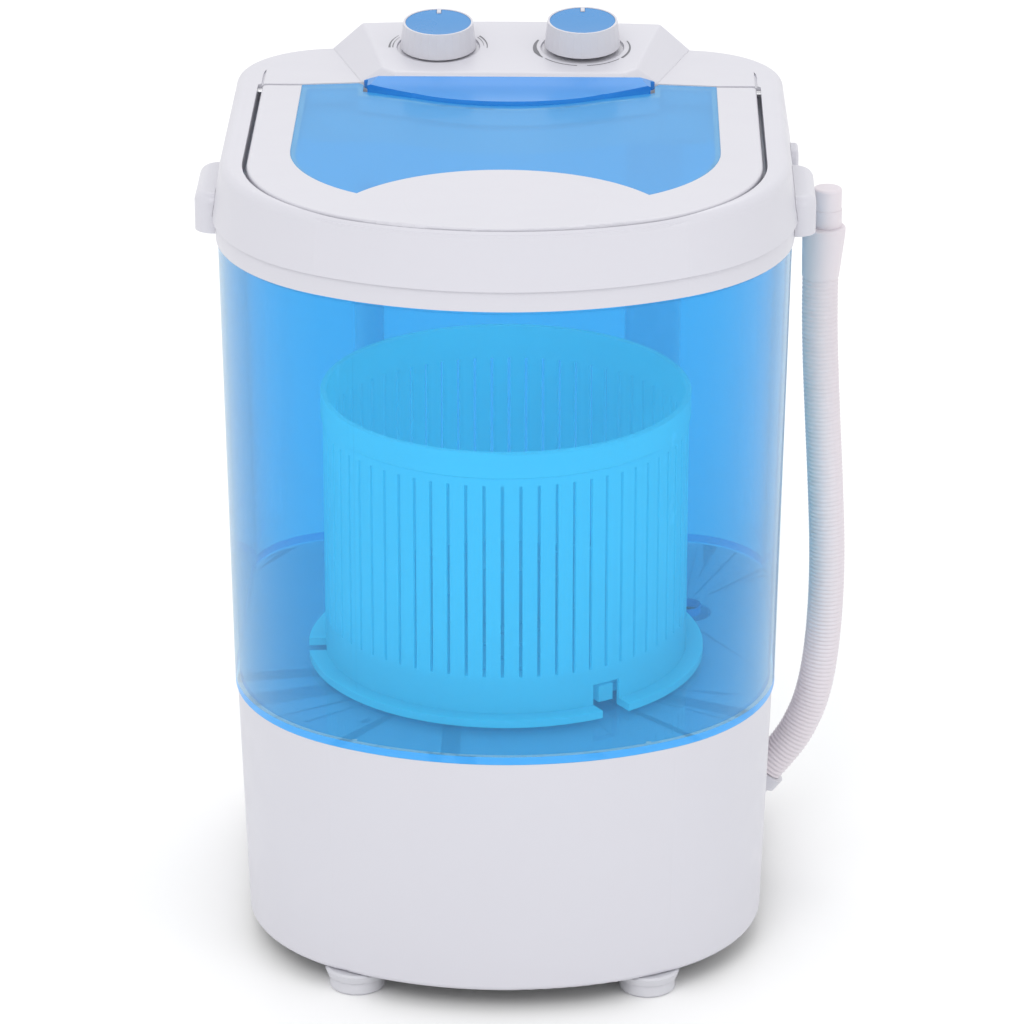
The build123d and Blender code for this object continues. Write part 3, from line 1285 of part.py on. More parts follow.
HOOK_Y = 54.0
HOOK_WIDTH = 22.0
HOOK_REACH = 170.0
HOOK_LOW_Z = 408.5
HOOK_TOP_Z = 458.0
HOOK_INNER_X = 150.0
LUG_SLOT_WIDTH = 6.4
LUG_SLOT_LOW_Z = 409.5
LUG_SLOT_HEIGHT = 8.0
SLEEVE_RADIUS = 8.8
SLEEVE_TOP_Z = 419.5
NOZZLE_RADIUS = 8.5
NOZZLE_WALL = 1.8
NOZZLE_TOP_Z = 432.5
CAP_Z = NOZZLE_TOP_Z - 3.0
NOZZLE_X = HOSE_ROUTE[-1][0] + 3.0
HOOK_TONGUE_X = 174.5

with BuildPart() as hose_hook:
    hook_middle_z = (HOOK_LOW_Z + HOOK_TOP_Z) / 2
    with BuildSketch(Plane.YZ.offset(HOOK_INNER_X)):
        with Locations((HOOK_Y, hook_middle_z)):
            RectangleRounded(HOOK_WIDTH, HOOK_TOP_Z - HOOK_LOW_Z, 6.0)
    extrude(amount=HOOK_REACH - HOOK_INNER_X)
    fillet(hose_hook.faces().sort_by(Axis.X)[-1].edges(), 2.0)
    body_between((STEP_Z, BAND_FOOT_INSET - 0.1), (DECK_Z, RIM_INSET - 0.1), mode=Mode.SUBTRACT)
    body_between((LIP_Z, -0.1), (STEP_Z + 0.5, -0.1), mode=Mode.SUBTRACT)
    body_between((DRUM_Z, DRUM_FOOT_INSET - 0.1), (LIP_Z + 0.5, -0.1), mode=Mode.SUBTRACT)
    # Upward tongue that the nozzle's lug drops over
    with BuildSketch(Plane.XY.offset(LUG_SLOT_LOW_Z)):
        with Locations(((HOOK_REACH - 1 + HOOK_TONGUE_X) / 2, HOOK_Y)):
            Rectangle(HOOK_TONGUE_X - HOOK_REACH + 1, LUG_SLOT_WIDTH)
    extrude(amount=LUG_SLOT_HEIGHT)
saved(hose_hook.part, "hose_hook")

# ---------------------------------------------------------------------------
# Drain: pipe from the tub floor, outlet, hose with its collar and nozzle
# ---------------------------------------------------------------------------

PIPE_RADIUS = 9.0
PIPE_BORE = 7.0
PIPE_LOW_Z = 30.0
INNER_END = OUTLET_INNER - OUTLET_AXIS * 4.0
TURN_X = INNER_END.X - (INNER_END.Z - PIPE_LOW_Z) * OUTLET_AXIS.X / OUTLET_AXIS.Z

with BuildPart() as drain_pipe:
    with BuildLine() as pipe_path:
        FilletPolyline(
            (DRAIN_X, HOSE_Y, DRUM_Z - 0.3),
            (DRAIN_X, HOSE_Y, PIPE_LOW_Z),
            (TURN_X, HOSE_Y, PIPE_LOW_Z),
            (INNER_END.X, INNER_END.Y, INNER_END.Z),
            radius=12.0,
        )
    with BuildSketch(Plane(origin=pipe_path.line @ 0, z_dir=pipe_path.line % 0)):
        Circle(PIPE_RADIUS)
        Circle(PIPE_BORE, mode=Mode.SUBTRACT)
    sweep()
    with BuildSketch(Plane.XY.offset(DRUM_Z - 3.5)):
        with Locations((DRAIN_X, HOSE_Y)):
            Circle(PIPE_FLANGE_RADIUS)
            Circle(PIPE_BORE, mode=Mode.SUBTRACT)
    extrude(amount=3.2)
saved(drain_pipe.part, "drain_pipe")

with BuildPart() as drain_outlet:
    # Flange against the outside of the base
    with BuildSketch(OUTLET_PLANE.offset(OUTLET_LENGTH - 8.0)):
        Circle(OUTLET_FLANGE_RADIUS)
    extrude(amount=8.0)
    body_between(
        (BASE_Z, BASE_FOOT_INSET - 0.2),
        (DRUM_Z, BASE_TOP_INSET - 0.2),
        mode=Mode.SUBTRACT,
    )
    # Tube through the base's hole, with a spigot inside the drain pipe
    with BuildSketch(OUTLET_PLANE):
        Circle(OUTLET_HOLE_RADIUS - 0.3)
    extrude(amount=OUTLET_LENGTH)
    with BuildSketch(OUTLET_PLANE.offset(-10.0)):
        Circle(PIPE_BORE - 0.1)
    extrude(amount=11.0)
    with BuildSketch(OUTLET_PLANE.offset(-11.0)):
        Circle(PIPE_BORE - 1.6)
    extrude(amount=OUTLET_LENGTH + 12.0, mode=Mode.SUBTRACT)
saved(drain_outlet.part, "drain_outlet")

HOSE_ARC_SHARE = 0.45


def route_radii(points):
    """Arc radius at each inner point: 0.45 of the shorter run over the half turn's tangent."""
    radii = []
    for before, here, after in zip(points, points[1:], points[2:]):
        run_in = Vector(*here) - Vector(*before)
        run_out = Vector(*after) - Vector(*here)
        half_turn = radians(run_in.get_angle(run_out)) / 2
        radii.append(HOSE_ARC_SHARE * min(run_in.length, run_out.length) / tan(half_turn))
    return radii


hose_radii = route_radii(HOSE_ROUTE)
with BuildPart() as drain_hose:
    with BuildLine() as hose_path:
        FilletPolyline(*HOSE_ROUTE, radius=hose_radii)
    with BuildSketch(Plane(origin=hose_path.line @ 0, z_dir=hose_path.line % 0)):
        Circle(HOSE_RADIUS)
    sweep()
saved(drain_hose.part, "drain_hose")
hose_length = sum(edge.length for edge in hose_path.edges())
swept_volume = pi * HOSE_RADIUS**2 * hose_length
print("hose radii", [round(r, 1) for r in hose_radii])
print("hose length", round(hose_length, 2), "volume ratio", drain_hose.part.volume / swept_volume)

COLLAR_RADIUS = 12.8
HOSE_END_X = HOSE_ROUTE[-1][0]
COLLAR_HEIGHT = 31.0
COLLAR_TOP_Z = COLLAR_Z + COLLAR_HEIGHT

with BuildPart() as hose_collar:
    with BuildSketch(Plane.XY.offset(COLLAR_Z)):
        with Locations((HOSE_END_X, HOSE_Y)):
            Circle(HOSE_RADIUS + 0.2)
    with BuildSketch(Plane.XY.offset(COLLAR_TOP_Z - 4.0)):
        with Locations((HOSE_END_X + 1.4, HOSE_Y)):
            Circle(COLLAR_RADIUS)
    loft(ruled=True)
    with BuildSketch(Plane.XY.offset(COLLAR_TOP_Z - 4.0)):
        with Locations((HOSE_END_X + 1.4, HOSE_Y)):
            Circle(COLLAR_RADIUS)
    extrude(amount=4.0)
    fillet(hose_collar.edges().group_by(Axis.Z)[-1], 1.5)
saved(hose_collar.part, "hose_collar")

with BuildPart() as hose_nozzle:
    with BuildSketch(Plane.XY.offset(COLLAR_TOP_Z)):
        with Locations((NOZZLE_X, HOSE_Y)):
            Circle(NOZZLE_RADIUS)
            Circle(NOZZLE_RADIUS - NOZZLE_WALL, mode=Mode.SUBTRACT)
    extrude(amount=CAP_Z - COLLAR_TOP_Z)
    with BuildSketch(Plane.XY.offset(COLLAR_TOP_Z)):
        with Locations((NOZZLE_X, HOSE_Y)):
            Circle(SLEEVE_RADIUS)
            Circle(NOZZLE_RADIUS - NOZZLE_WALL, mode=Mode.SUBTRACT)
    extrude(amount=SLEEVE_TOP_Z - COLLAR_TOP_Z)
    # Hanging lug on the sleeve, with a slot that drops over the hook's tongue
    lug_low_x = HOOK_REACH + 2 * FIT_GAP
    lug_high_x = NOZZLE_X - SLEEVE_RADIUS + 2 * FIT_GAP
    slot_high_x = HOOK_TONGUE_X + FIT_GAP
    with BuildSketch(Plane.XY.offset(LUG_SLOT_LOW_Z + 1)):
        with Locations(((lug_low_x + lug_high_x) / 2, HOOK_Y)):
            Rectangle(lug_high_x - lug_low_x, 2 * LUG_SLOT_WIDTH)
        with Locations(((lug_low_x + slot_high_x) / 2, HOOK_Y)):
            Rectangle(slot_high_x - lug_low_x, LUG_SLOT_WIDTH + 2 * FIT_GAP, mode=Mode.SUBTRACT)
    extrude(amount=LUG_SLOT_HEIGHT)
saved(hose_nozzle.part, "hose_nozzle")

with BuildPart() as nozzle_cap:
    with BuildSketch(Plane.XY.offset(CAP_Z)):
        with Locations((NOZZLE_X, HOSE_Y)):
            Circle(NOZZLE_RADIUS)
    extrude(amount=NOZZLE_TOP_Z - CAP_Z)
    fillet(nozzle_cap.edges().group_by(Axis.Z)[-1], 1.6)
    with BuildSketch(Plane.XY.offset(CAP_Z)):
        with Locations((NOZZLE_X, HOSE_Y)):
            Circle(NOZZLE_RADIUS - NOZZLE_WALL - 0.1)
    extrude(amount=-6.0)
saved(nozzle_cap.part, "nozzle_cap")

# ---------------------------------------------------------------------------
# Ducts inside the tub, cable grommet
# ---------------------------------------------------------------------------

DUCT_X = 87.0
DUCT_Y = 156.0
DUCT_LENGTH = 34.0
DUCT_DEPTH = 14.0
DUCT_WALL = 2.0

with BuildPart() as wire_duct:
    with BuildSketch(Plane.XY.offset(FLOOR_Z + 0.1)):
        with Locations((DUCT_X, DUCT_Y)):
            RectangleRounded(DUCT_LENGTH, DUCT_DEPTH, 2 * DUCT_WALL)
            hollow = (DUCT_LENGTH - 2 * DUCT_WALL, DUCT_DEPTH - 2 * DUCT_WALL)
            RectangleRounded(*hollow, DUCT_WALL, mode=Mode.SUBTRACT)
    extrude(amount=BAY_LOW_Z - FLOOR_Z - 0.4)
saved(wire_duct.part, "wire_duct")

OVERFLOW_RADIUS = 9.0
OVERFLOW_TOP_Z = 398.0
CABLE_RADIUS = 3.6

with BuildPart() as overflow_pipe:
    with BuildSketch(Plane.XY.offset(FLOOR_Z + 0.1)):
        with Locations((-DUCT_X, DUCT_Y)):
            Circle(OVERFLOW_RADIUS)
            Circle(OVERFLOW_RADIUS - DUCT_WALL, mode=Mode.SUBTRACT)
    extrude(amount=OVERFLOW_TOP_Z - FLOOR_Z)
    # Inlet slot at the water's highest level
    with Locations((-DUCT_X, DUCT_Y - OVERFLOW_RADIUS, OVERFLOW_TOP_Z - 16.0)):
        Box(5.0, 8.0, 18.0, mode=Mode.SUBTRACT)
saved(overflow_pipe.part, "overflow_pipe")

with BuildPart() as cable_grommet:
    rear_face_y = BODY_HALF_DEPTH - base_inset(GROMMET_Z) - 2.2
    with BuildSketch(Plane.XZ.offset(-rear_face_y)):
        with Locations((GROMMET_X, GROMMET_Z)):
            Circle(GROMMET_RADIUS + 3.0)
            Circle(CABLE_RADIUS, mode=Mode.SUBTRACT)
    extrude(amount=-3.0)
    base_foot = (BASE_Z - 1, base_inset(BASE_Z - 1) - 0.1)
    body_between(base_foot, (DRUM_Z, BASE_TOP_INSET - 0.1), mode=Mode.SUBTRACT)
    with BuildSketch(Plane.XZ.offset(-rear_face_y)):
        with Locations((GROMMET_X, GROMMET_Z)):
            Circle(GROMMET_RADIUS - 0.1)
            Circle(CABLE_RADIUS, mode=Mode.SUBTRACT)
    extrude(amount=8.0)
saved(cable_grommet.part, "cable_grommet")
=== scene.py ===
import math

import bpy
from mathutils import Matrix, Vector


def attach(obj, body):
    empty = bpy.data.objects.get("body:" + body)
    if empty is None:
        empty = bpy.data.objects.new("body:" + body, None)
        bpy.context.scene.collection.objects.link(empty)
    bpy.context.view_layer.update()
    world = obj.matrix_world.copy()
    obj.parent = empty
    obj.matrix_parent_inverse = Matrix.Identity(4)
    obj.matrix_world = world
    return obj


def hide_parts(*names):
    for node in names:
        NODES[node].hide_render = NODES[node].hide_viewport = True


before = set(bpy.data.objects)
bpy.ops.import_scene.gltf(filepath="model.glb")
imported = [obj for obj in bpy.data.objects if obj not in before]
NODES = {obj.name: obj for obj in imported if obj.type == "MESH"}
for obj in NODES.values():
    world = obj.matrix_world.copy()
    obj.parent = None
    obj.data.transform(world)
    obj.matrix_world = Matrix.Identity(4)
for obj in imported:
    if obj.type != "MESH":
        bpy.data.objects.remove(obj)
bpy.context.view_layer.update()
SCENE = bpy.context.scene
SCENE.view_settings.view_transform = "Standard"

# ---------------------------------------------------------------------------
# Camera: a long lens from the front, looking a little down
# ---------------------------------------------------------------------------

CAMERA_PLACE = (0.0520, -2.8829, 1.4066)
CAMERA_PITCH = 22.204
CAMERA_YAW = 1.05
CAMERA_LENS = 184.6
SENSOR_WIDTH = 36.0
SHIFT_X = 0.0069
SHIFT_Y = 0.0269
VIEW_DISTANCE = 50.0


def make_camera():
    """The one camera of the scene."""
    data = bpy.data.cameras.new("camera")
    data.lens = CAMERA_LENS
    data.sensor_width = SENSOR_WIDTH
    data.shift_x = SHIFT_X
    data.shift_y = SHIFT_Y
    data.clip_end = VIEW_DISTANCE
    camera = bpy.data.objects.new("camera", data)
    camera.location = CAMERA_PLACE
    camera.rotation_euler = (math.radians(90 - CAMERA_PITCH), 0, math.radians(CAMERA_YAW))
    SCENE.collection.objects.link(camera)
    SCENE.camera = camera


# ---------------------------------------------------------------------------
# Small helpers
# ---------------------------------------------------------------------------

# Noise scales, in cycles per metre
GRAIN_SCALE = 1400.0
PATCH_SCALE = 40.0
TONE_SCALE = 9.0
CLEAR_TONE_SCALE = 7.0
GRAIN_DEPTH = 0.00005

# The noise's usual span
NOISE_LOW = 0.3
NOISE_HIGH = 0.7

# Clear plastic: the roughness of its gloss and haze, and the gloss's share square on and grazing
GLOSS_ROUGHNESS = 0.07
HAZE_ROUGHNESS = 0.3
GLOSS_FACING = 0.03
GLOSS_GRAZING = 0.85

# Clear plastic: a normal's rise on flat and on upright faces, the blur at the top of the foot's painted
# shade, and where the painted shade towards the rear starts and ends, in metres
FLAT_RISE = 0.8
UPRIGHT_RISE = 0.3
EDGE_BLUR = 0.0003
REAR_SHADE_START = -0.10
REAR_SHADE_END = 0.12

# Clear plastic: the haze's share in the foot's painted shade, and the power that pales the tint for
# light
FOOT_SHADE_HAZE = 0.75
PALE_POWER = 0.1


def new_mesh(name, vertices, faces):
    """A linked, smooth-shaded mesh object from vertices and faces in the frame's metres."""
    mesh = bpy.data.meshes.new(name)
    mesh.from_pydata([tuple(v) for v in vertices], [], faces)
    mesh.update()
    for polygon in mesh.polygons:
        polygon.use_smooth = True
    made = bpy.data.objects.new(name, mesh)
    SCENE.collection.objects.link(made)
    return made


def new_material(name):
    """An empty node material; returns (material, nodes, link function, output node)."""
    material = bpy.data.materials.new(name)
    material.use_nodes = True
    nodes = material.node_tree.nodes
    nodes.clear()
    output = nodes.new("ShaderNodeOutputMaterial")
    return material, nodes, material.node_tree.links.new, output


def object_noise(nodes, link, scale, detail=3.0):
    """Noise in the object's own space, whose scale is in cycles per metre."""
    place = nodes.new("ShaderNodeTexCoord")
    noise = nodes.new("ShaderNodeTexNoise")
    noise.inputs["Scale"].default_value = scale
    noise.inputs["Detail"].default_value = detail
    link(place.outputs["Object"], noise.inputs["Vector"])
    return noise


def varied_colour(nodes, link, colour, amount, scale):
    """The colour with a soft unevenness of the given amount; returns a colour output."""
    noise = object_noise(nodes, link, scale, 2.0)
    mix = nodes.new("ShaderNodeMix")
    mix.data_type = "RGBA"
    low = [max(c * (1 - amount), 0.0) for c in colour]
    high = [min(c * (1 + amount), 1.0) for c in colour]
    mix.inputs["A"].default_value = (*low, 1)
    mix.inputs["B"].default_value = (*high, 1)
    link(noise.outputs["Fac"], mix.inputs["Factor"])
    return mix.outputs["Result"]


def add_bump(nodes, link, shader, scale, strength, depth):
    """Fine surface grain on a shader."""
    noise = object_noise(nodes, link, scale)
    bump = nodes.new("ShaderNodeBump")
    bump.inputs["Strength"].default_value = strength
    bump.inputs["Distance"].default_value = depth
    link(noise.outputs["Fac"], bump.inputs["Height"])
    link(bump.outputs["Normal"], shader.inputs["Normal"])


def vary_roughness(nodes, link, shader, low, high, scale):
    """Roughness that drifts between low and high."""
    noise = object_noise(nodes, link, scale)
    span = nodes.new("ShaderNodeMapRange")
    span.inputs["From Min"].default_value = NOISE_LOW
    span.inputs["From Max"].default_value = NOISE_HIGH
    span.inputs["To Min"].default_value = low
    span.inputs["To Max"].default_value = high
    link(noise.outputs["Fac"], span.inputs["Value"])
    link(span.outputs["Result"], shader.inputs["Roughness"])


def plastic(name, colour, low_rough, high_rough, grain=0.15, amount=0.02, metallic=0.0):
    """An opaque moulded, rubber or metal surface with slight unevenness."""
    material, nodes, link, output = new_material(name)
    shader = nodes.new("ShaderNodeBsdfPrincipled")
    shader.inputs["Metallic"].default_value = metallic
    tone = varied_colour(nodes, link, colour, amount, TONE_SCALE)
    link(tone, shader.inputs["Base Color"])
    vary_roughness(nodes, link, shader, low_rough, high_rough, PATCH_SCALE)
    add_bump(nodes, link, shader, GRAIN_SCALE, grain, GRAIN_DEPTH)
    link(shader.outputs["BSDF"], output.inputs["Surface"])
    return material


def blended(nodes, link, share, first, second):
    """Mixes the first colour into the second by a share output; returns a colour output."""
    mix = nodes.new("ShaderNodeMix")
    mix.data_type = "RGBA"
    link(share, mix.inputs["Factor"])
    link(first, mix.inputs["A"])
    mix.inputs["B"].default_value = (*second, 1)
    return mix.outputs["Result"]


def stretched(nodes, link, value, low, high):
    """The value output mapped so that low to high becomes 0 to 1."""
    span = nodes.new("ShaderNodeMapRange")
    span.inputs["From Min"].default_value = low
    span.inputs["From Max"].default_value = high
    link(value, span.inputs["Value"])
    return span.outputs["Result"]


def point_axis(nodes, link, axis):
    """One coordinate of the shaded point in the object's own space."""
    place = nodes.new("ShaderNodeTexCoord")
    point = nodes.new("ShaderNodeSeparateXYZ")
    link(place.outputs["Object"], point.inputs["Vector"])
    return point.outputs[axis]


def normal_rise(nodes, link):
    """How far the face's normal points up: 1 on a top, 0 on an upright face, -1 underneath."""
    shape = nodes.new("ShaderNodeNewGeometry")
    normal = nodes.new("ShaderNodeSeparateXYZ")
    link(shape.outputs["Normal"], normal.inputs["Vector"])
    return normal.outputs["Z"]


def below_height(nodes, link, height):
    """1 on upright faces below a height, else 0."""
    rise = point_axis(nodes, link, "Z")
    low = stretched(nodes, link, rise, height + EDGE_BLUR, height - EDGE_BLUR)
    tilt = nodes.new("ShaderNodeMath")
    tilt.operation = "ABSOLUTE"
    link(normal_rise(nodes, link), tilt.inputs[0])
    upright = stretched(nodes, link, tilt.outputs["Value"], FLAT_RISE, UPRIGHT_RISE)
    both = nodes.new("ShaderNodeMath")
    both.operation = "MULTIPLY"
    link(low, both.inputs[0])
    link(upright, both.inputs[1])
    return both.outputs["Value"]


def tinted_gloss(nodes, link, tint, sheen):
    """See-through tint under a gloss that grows towards grazing angles."""
    through = nodes.new("ShaderNodeBsdfTransparent")
    link(tint, through.inputs["Color"])
    gloss = nodes.new("ShaderNodeBsdfGlossy")
    gloss.inputs["Roughness"].default_value = GLOSS_ROUGHNESS
    facing = nodes.new("ShaderNodeLayerWeight")
    facing.inputs["Blend"].default_value = 0.5
    power = nodes.new("ShaderNodeMath")
    power.operation = "POWER"
    power.inputs[1].default_value = sheen
    link(facing.outputs["Facing"], power.inputs[0])
    mirror = nodes.new("ShaderNodeMapRange")
    mirror.inputs["To Min"].default_value = GLOSS_FACING
    mirror.inputs["To Max"].default_value = GLOSS_GRAZING
    link(power.outputs["Value"], mirror.inputs["Value"])
    clear = nodes.new("ShaderNodeMixShader")
    link(mirror.outputs["Result"], clear.inputs["Fac"])
    link(through.outputs["BSDF"], clear.inputs[1])
    link(gloss.outputs["BSDF"], clear.inputs[2])
    return clear


def paler_for_light(nodes, link, surface, tint):
    """The surface for the eye, and a paler tint for light, so that what stands inside is well lit."""
    pale = nodes.new("ShaderNodeBsdfTransparent")
    pale.inputs["Color"].default_value = (*[c**PALE_POWER for c in tint], 1)
    path = nodes.new("ShaderNodeLightPath")
    for ray in ("Is Shadow Ray", "Is Diffuse Ray"):
        choice = nodes.new("ShaderNodeMixShader")
        link(path.outputs[ray], choice.inputs["Fac"])
        link(surface.outputs["Shader"], choice.inputs[1])
        link(pale.outputs["BSDF"], choice.inputs[2])
        surface = choice
    return surface


def clear_plastic(name, tint, haze_colour, haze, sheen, rear_shade_tint=None, edge=None, foot=None):
    """Tinted see-through plastic: what is behind it shows in its tint, under a gloss and a haze.

    haze is the share of the haze; sheen is how tightly the gloss keeps to grazing angles;
    rear_shade_tint is a darker tint towards the body's rear, painted shade for its unlit rear wall;
    edge is the haze colour of upright faces, where the light crosses the sheet along its length;
    foot is a height and the darker haze colour of the upright faces below it, painted shade along
    the drum's foot, where the haze is also thicker.
    """
    material, nodes, link, output = new_material(name)
    seen = varied_colour(nodes, link, tint, 0.015, CLEAR_TONE_SCALE)
    # Painted shade: the tint turns darker towards the rear, standing in for the unlit rear wall
    if rear_shade_tint:
        share = stretched(nodes, link, point_axis(nodes, link, "Y"), REAR_SHADE_START, REAR_SHADE_END)
        seen = blended(nodes, link, share, seen, rear_shade_tint)
    clear = tinted_gloss(nodes, link, seen, sheen)

    body = nodes.new("ShaderNodeBsdfPrincipled")
    body.inputs["Roughness"].default_value = HAZE_ROUGHNESS
    cloud = varied_colour(nodes, link, haze_colour, 0.04, CLEAR_TONE_SCALE)
    mixed = nodes.new("ShaderNodeMixShader")
    mixed.inputs["Fac"].default_value = haze
    if edge:
        share = stretched(nodes, link, normal_rise(nodes, link), FLAT_RISE, UPRIGHT_RISE)
        cloud = blended(nodes, link, share, cloud, edge)
    # Painted shade: the upright faces below the foot's top get a darker colour and a thicker haze
    if foot:
        height, foot_shade_colour = foot
        below = below_height(nodes, link, height)
        cloud = blended(nodes, link, below, cloud, foot_shade_colour)
        shade_share = nodes.new("ShaderNodeMapRange")
        shade_share.inputs["To Min"].default_value = haze
        shade_share.inputs["To Max"].default_value = FOOT_SHADE_HAZE
        link(below, shade_share.inputs["Value"])
        link(shade_share.outputs["Result"], mixed.inputs["Fac"])
    link(cloud, body.inputs["Base Color"])
    link(clear.outputs["Shader"], mixed.inputs[1])
    link(body.outputs["BSDF"], mixed.inputs[2])

    surface = paler_for_light(nodes, link, mixed, tint)
    link(surface.outputs["Shader"], output.inputs["Surface"])
    return material


def glowing_plastic(name, colour, through, low_rough, high_rough):
    """Tinted plastic that lets some of the light behind it through, diffused."""
    material, nodes, link, output = new_material(name)
    tone = varied_colour(nodes, link, colour, 0.03, TONE_SCALE)
    shader = nodes.new("ShaderNodeBsdfPrincipled")
    link(tone, shader.inputs["Base Color"])
    vary_roughness(nodes, link, shader, low_rough, high_rough, PATCH_SCALE)
    add_bump(nodes, link, shader, GRAIN_SCALE, 0.1, GRAIN_DEPTH)
    back_lit = nodes.new("ShaderNodeBsdfTranslucent")
    link(tone, back_lit.inputs["Color"])
    mixed = nodes.new("ShaderNodeMixShader")
    mixed.inputs["Fac"].default_value = through
    link(shader.outputs["BSDF"], mixed.inputs[1])
    link(back_lit.outputs["BSDF"], mixed.inputs[2])
    link(mixed.outputs["Shader"], output.inputs["Surface"])
    return material


def paint(material, *names):
    """Gives CAD nodes a material."""
    for name in names:
        target = NODES[name]
        if not target.material_slots:
            target.data.materials.append(material)
        for slot in target.material_slots:
            slot.material = material


# ---------------------------------------------------------------------------
# Materials
# ---------------------------------------------------------------------------

WHITE = (0.565, 0.56, 0.61)
DRUM_TINT = (0.52, 0.83, 0.965)
# Painted shade: the drum's darker tint towards its rear, for its unlit rear wall
DRUM_REAR_SHADE_TINT = (0.34, 0.74, 0.915)
HAZE_BLUE = (0.03, 0.42, 0.97)
WINDOW_TINT = (0.38, 0.72, 0.93)
WINDOW_CLOUD = (0.03, 0.32, 0.68)
LENS_TINT = (0.42, 0.74, 0.96)
LENS_CLOUD = (0.04, 0.29, 0.72)
LENS_EDGE = (0.002, 0.17, 0.62)

# Painted shade at the drum's foot: a darker, denser blue haze on its upright faces up to just under the
# top of the tub's floor, where the wall meets the flange
FOOT_SHADE = (0.015, 0.35, 0.90)
FOOT_SHADE_TOP = 0.1663


def paint_frame():
    """Makes every material and gives it to its CAD nodes; returns those the pieces need."""
    white = plastic("white_shell", WHITE, 0.30, 0.40, 0.10, 0.012)
    base_white = plastic("white_base", (0.575, 0.57, 0.62), 0.34, 0.46, 0.16, 0.012)
    # Painted shade along the drum's foot
    foot_shade = (FOOT_SHADE_TOP, FOOT_SHADE)
    drum = clear_plastic(
        "blue_drum", DRUM_TINT, HAZE_BLUE, 0.10, 3.0, rear_shade_tint=DRUM_REAR_SHADE_TINT, foot=foot_shade
    )
    window = clear_plastic("blue_window", WINDOW_TINT, WINDOW_CLOUD, 0.55, 6.0)
    lens = clear_plastic("blue_lens", LENS_TINT, LENS_CLOUD, 0.6, 6.0, edge=LENS_EDGE)
    basket = glowing_plastic("blue_basket", (0.28, 0.90, 1.0), 0.5, 0.16, 0.28)
    cap = plastic("blue_cap", (0.012, 0.20, 0.51), 0.22, 0.34, 0.12, 0.03)
    hose = plastic("hose_white", (0.66, 0.61, 0.65), 0.32, 0.48, 0.20, 0.03)
    grey = plastic("grey_moulding", (0.10, 0.10, 0.11), 0.40, 0.55, 0.30, 0.08)
    rubber = plastic("black_rubber", (0.030, 0.030, 0.033), 0.60, 0.80, 0.40, 0.15)
    foot = plastic("grey_foot", (0.56, 0.56, 0.60), 0.45, 0.60, 0.30, 0.04)
    steel = plastic("zinc_steel", (0.55, 0.55, 0.57), 0.22, 0.38, 0.30, 0.06, 1.0)
    painted = plastic("painted_steel", (0.18, 0.18, 0.19), 0.35, 0.50, 0.30, 0.08)
    alloy = plastic("cast_alloy", (0.62, 0.62, 0.64), 0.38, 0.55, 0.60, 0.06, 1.0)
    iron = plastic("core_iron", (0.12, 0.12, 0.13), 0.45, 0.65, 0.60, 0.12, 1.0)
    duct = glowing_plastic("blue_duct", (0.22, 0.70, 0.96), 0.35, 0.20, 0.32)
    ink = plastic("dial_ink", (0.13, 0.13, 0.15), 0.45, 0.55, 0.05, 0.04)

    paint(white, "top_housing", "lid_frame", "control_panel", "programme_knob", "timer_knob")
    paint(white, "handle_left", "handle_right", "hose_hook", "drain_outlet")
    paint(base_white, "base_housing")
    paint(drum, "tub_drum")
    paint(window, "lid_window")
    paint(lens, "splash_lens")
    paint(basket, "spin_basket", "pulsator")
    paint(cap, "programme_knob_cap", "timer_knob_cap")
    paint(hose, "hose_collar", "hose_nozzle", "nozzle_cap")
    paint(duct, "wire_duct", "overflow_pipe")
    paint(grey, "bottom_plate", "drive_pulley", "motor_pulley", "motor_capacitor")
    paint(grey, "programme_switch", "timer_case")
    paint(foot, *[n for n in NODES if n.startswith("foot_") and n != "foot_screws"])
    paint(rubber, "shaft_seal", "drive_belt", "lid_bumpers", "drain_pipe", "cable_grommet")
    paint(steel, "bearing_lower", "bearing_upper", "drive_shaft", "drive_pulley_nut")
    paint(steel, "motor_shaft", "pulsator_screw", "lid_hinge_pins")
    paint(steel, "programme_shaft", "timer_shaft")
    paint(steel, *[n for n in NODES if n.endswith("_screws")])
    paint(painted, "motor_bracket", "capacitor_clip")
    paint(alloy, "motor_casing", "bearing_housing")
    paint(iron, "motor_stator", "motor_rotor")
    return {"hose": hose, "ink": ink}


# ---------------------------------------------------------------------------
# Drain hose: a ribbed tube along its route
# ---------------------------------------------------------------------------

# The route's points, as the solid's own, from the outlet up to the collar
HOSE_ROUTE = [
    (0.1586, 0.0540, 0.0587),
    (0.1680, 0.0542, 0.0699),
    (0.1777, 0.0548, 0.0844),
    (0.1870, 0.0554, 0.1080),
    (0.1920, 0.0556, 0.1460),
    (0.1933, 0.0552, 0.1940),
    (0.1908, 0.0546, 0.2460),
    (0.1871, 0.0542, 0.3040),
    (0.1847, 0.0540, 0.3520),
    (0.1848, 0.0540, 0.3780),
]
HOSE_RADIUS = 0.0108
RIB_PITCH = 0.0026
RIB_DEPTH = 0.0007
RIB_FLATNESS = 0.7
RINGS_PER_RIB = 6
HOSE_SIDES = 40


def hose_line():
    """Points along the route's smooth curve, in order."""
    data = bpy.data.curves.new("hose_route", "CURVE")
    data.dimensions = "3D"
    spline = data.splines.new("NURBS")
    spline.points.add(len(HOSE_ROUTE) - 1)
    for point, place in zip(spline.points, HOSE_ROUTE):
        point.co = (*place, 1)
    spline.order_u = 3
    spline.use_endpoint_u = True
    spline.resolution_u = 32
    carrier = bpy.data.objects.new("hose_route", data)
    SCENE.collection.objects.link(carrier)
    bpy.context.view_layer.update()
    mesh = bpy.data.meshes.new_from_object(carrier)
    points = [v.co.copy() for v in mesh.vertices]
    bpy.data.objects.remove(carrier)
    bpy.data.meshes.remove(mesh)
    if (points[0] - Vector(HOSE_ROUTE[0])).length > (points[-1] - Vector(HOSE_ROUTE[0])).length:
        points.reverse()
    return points


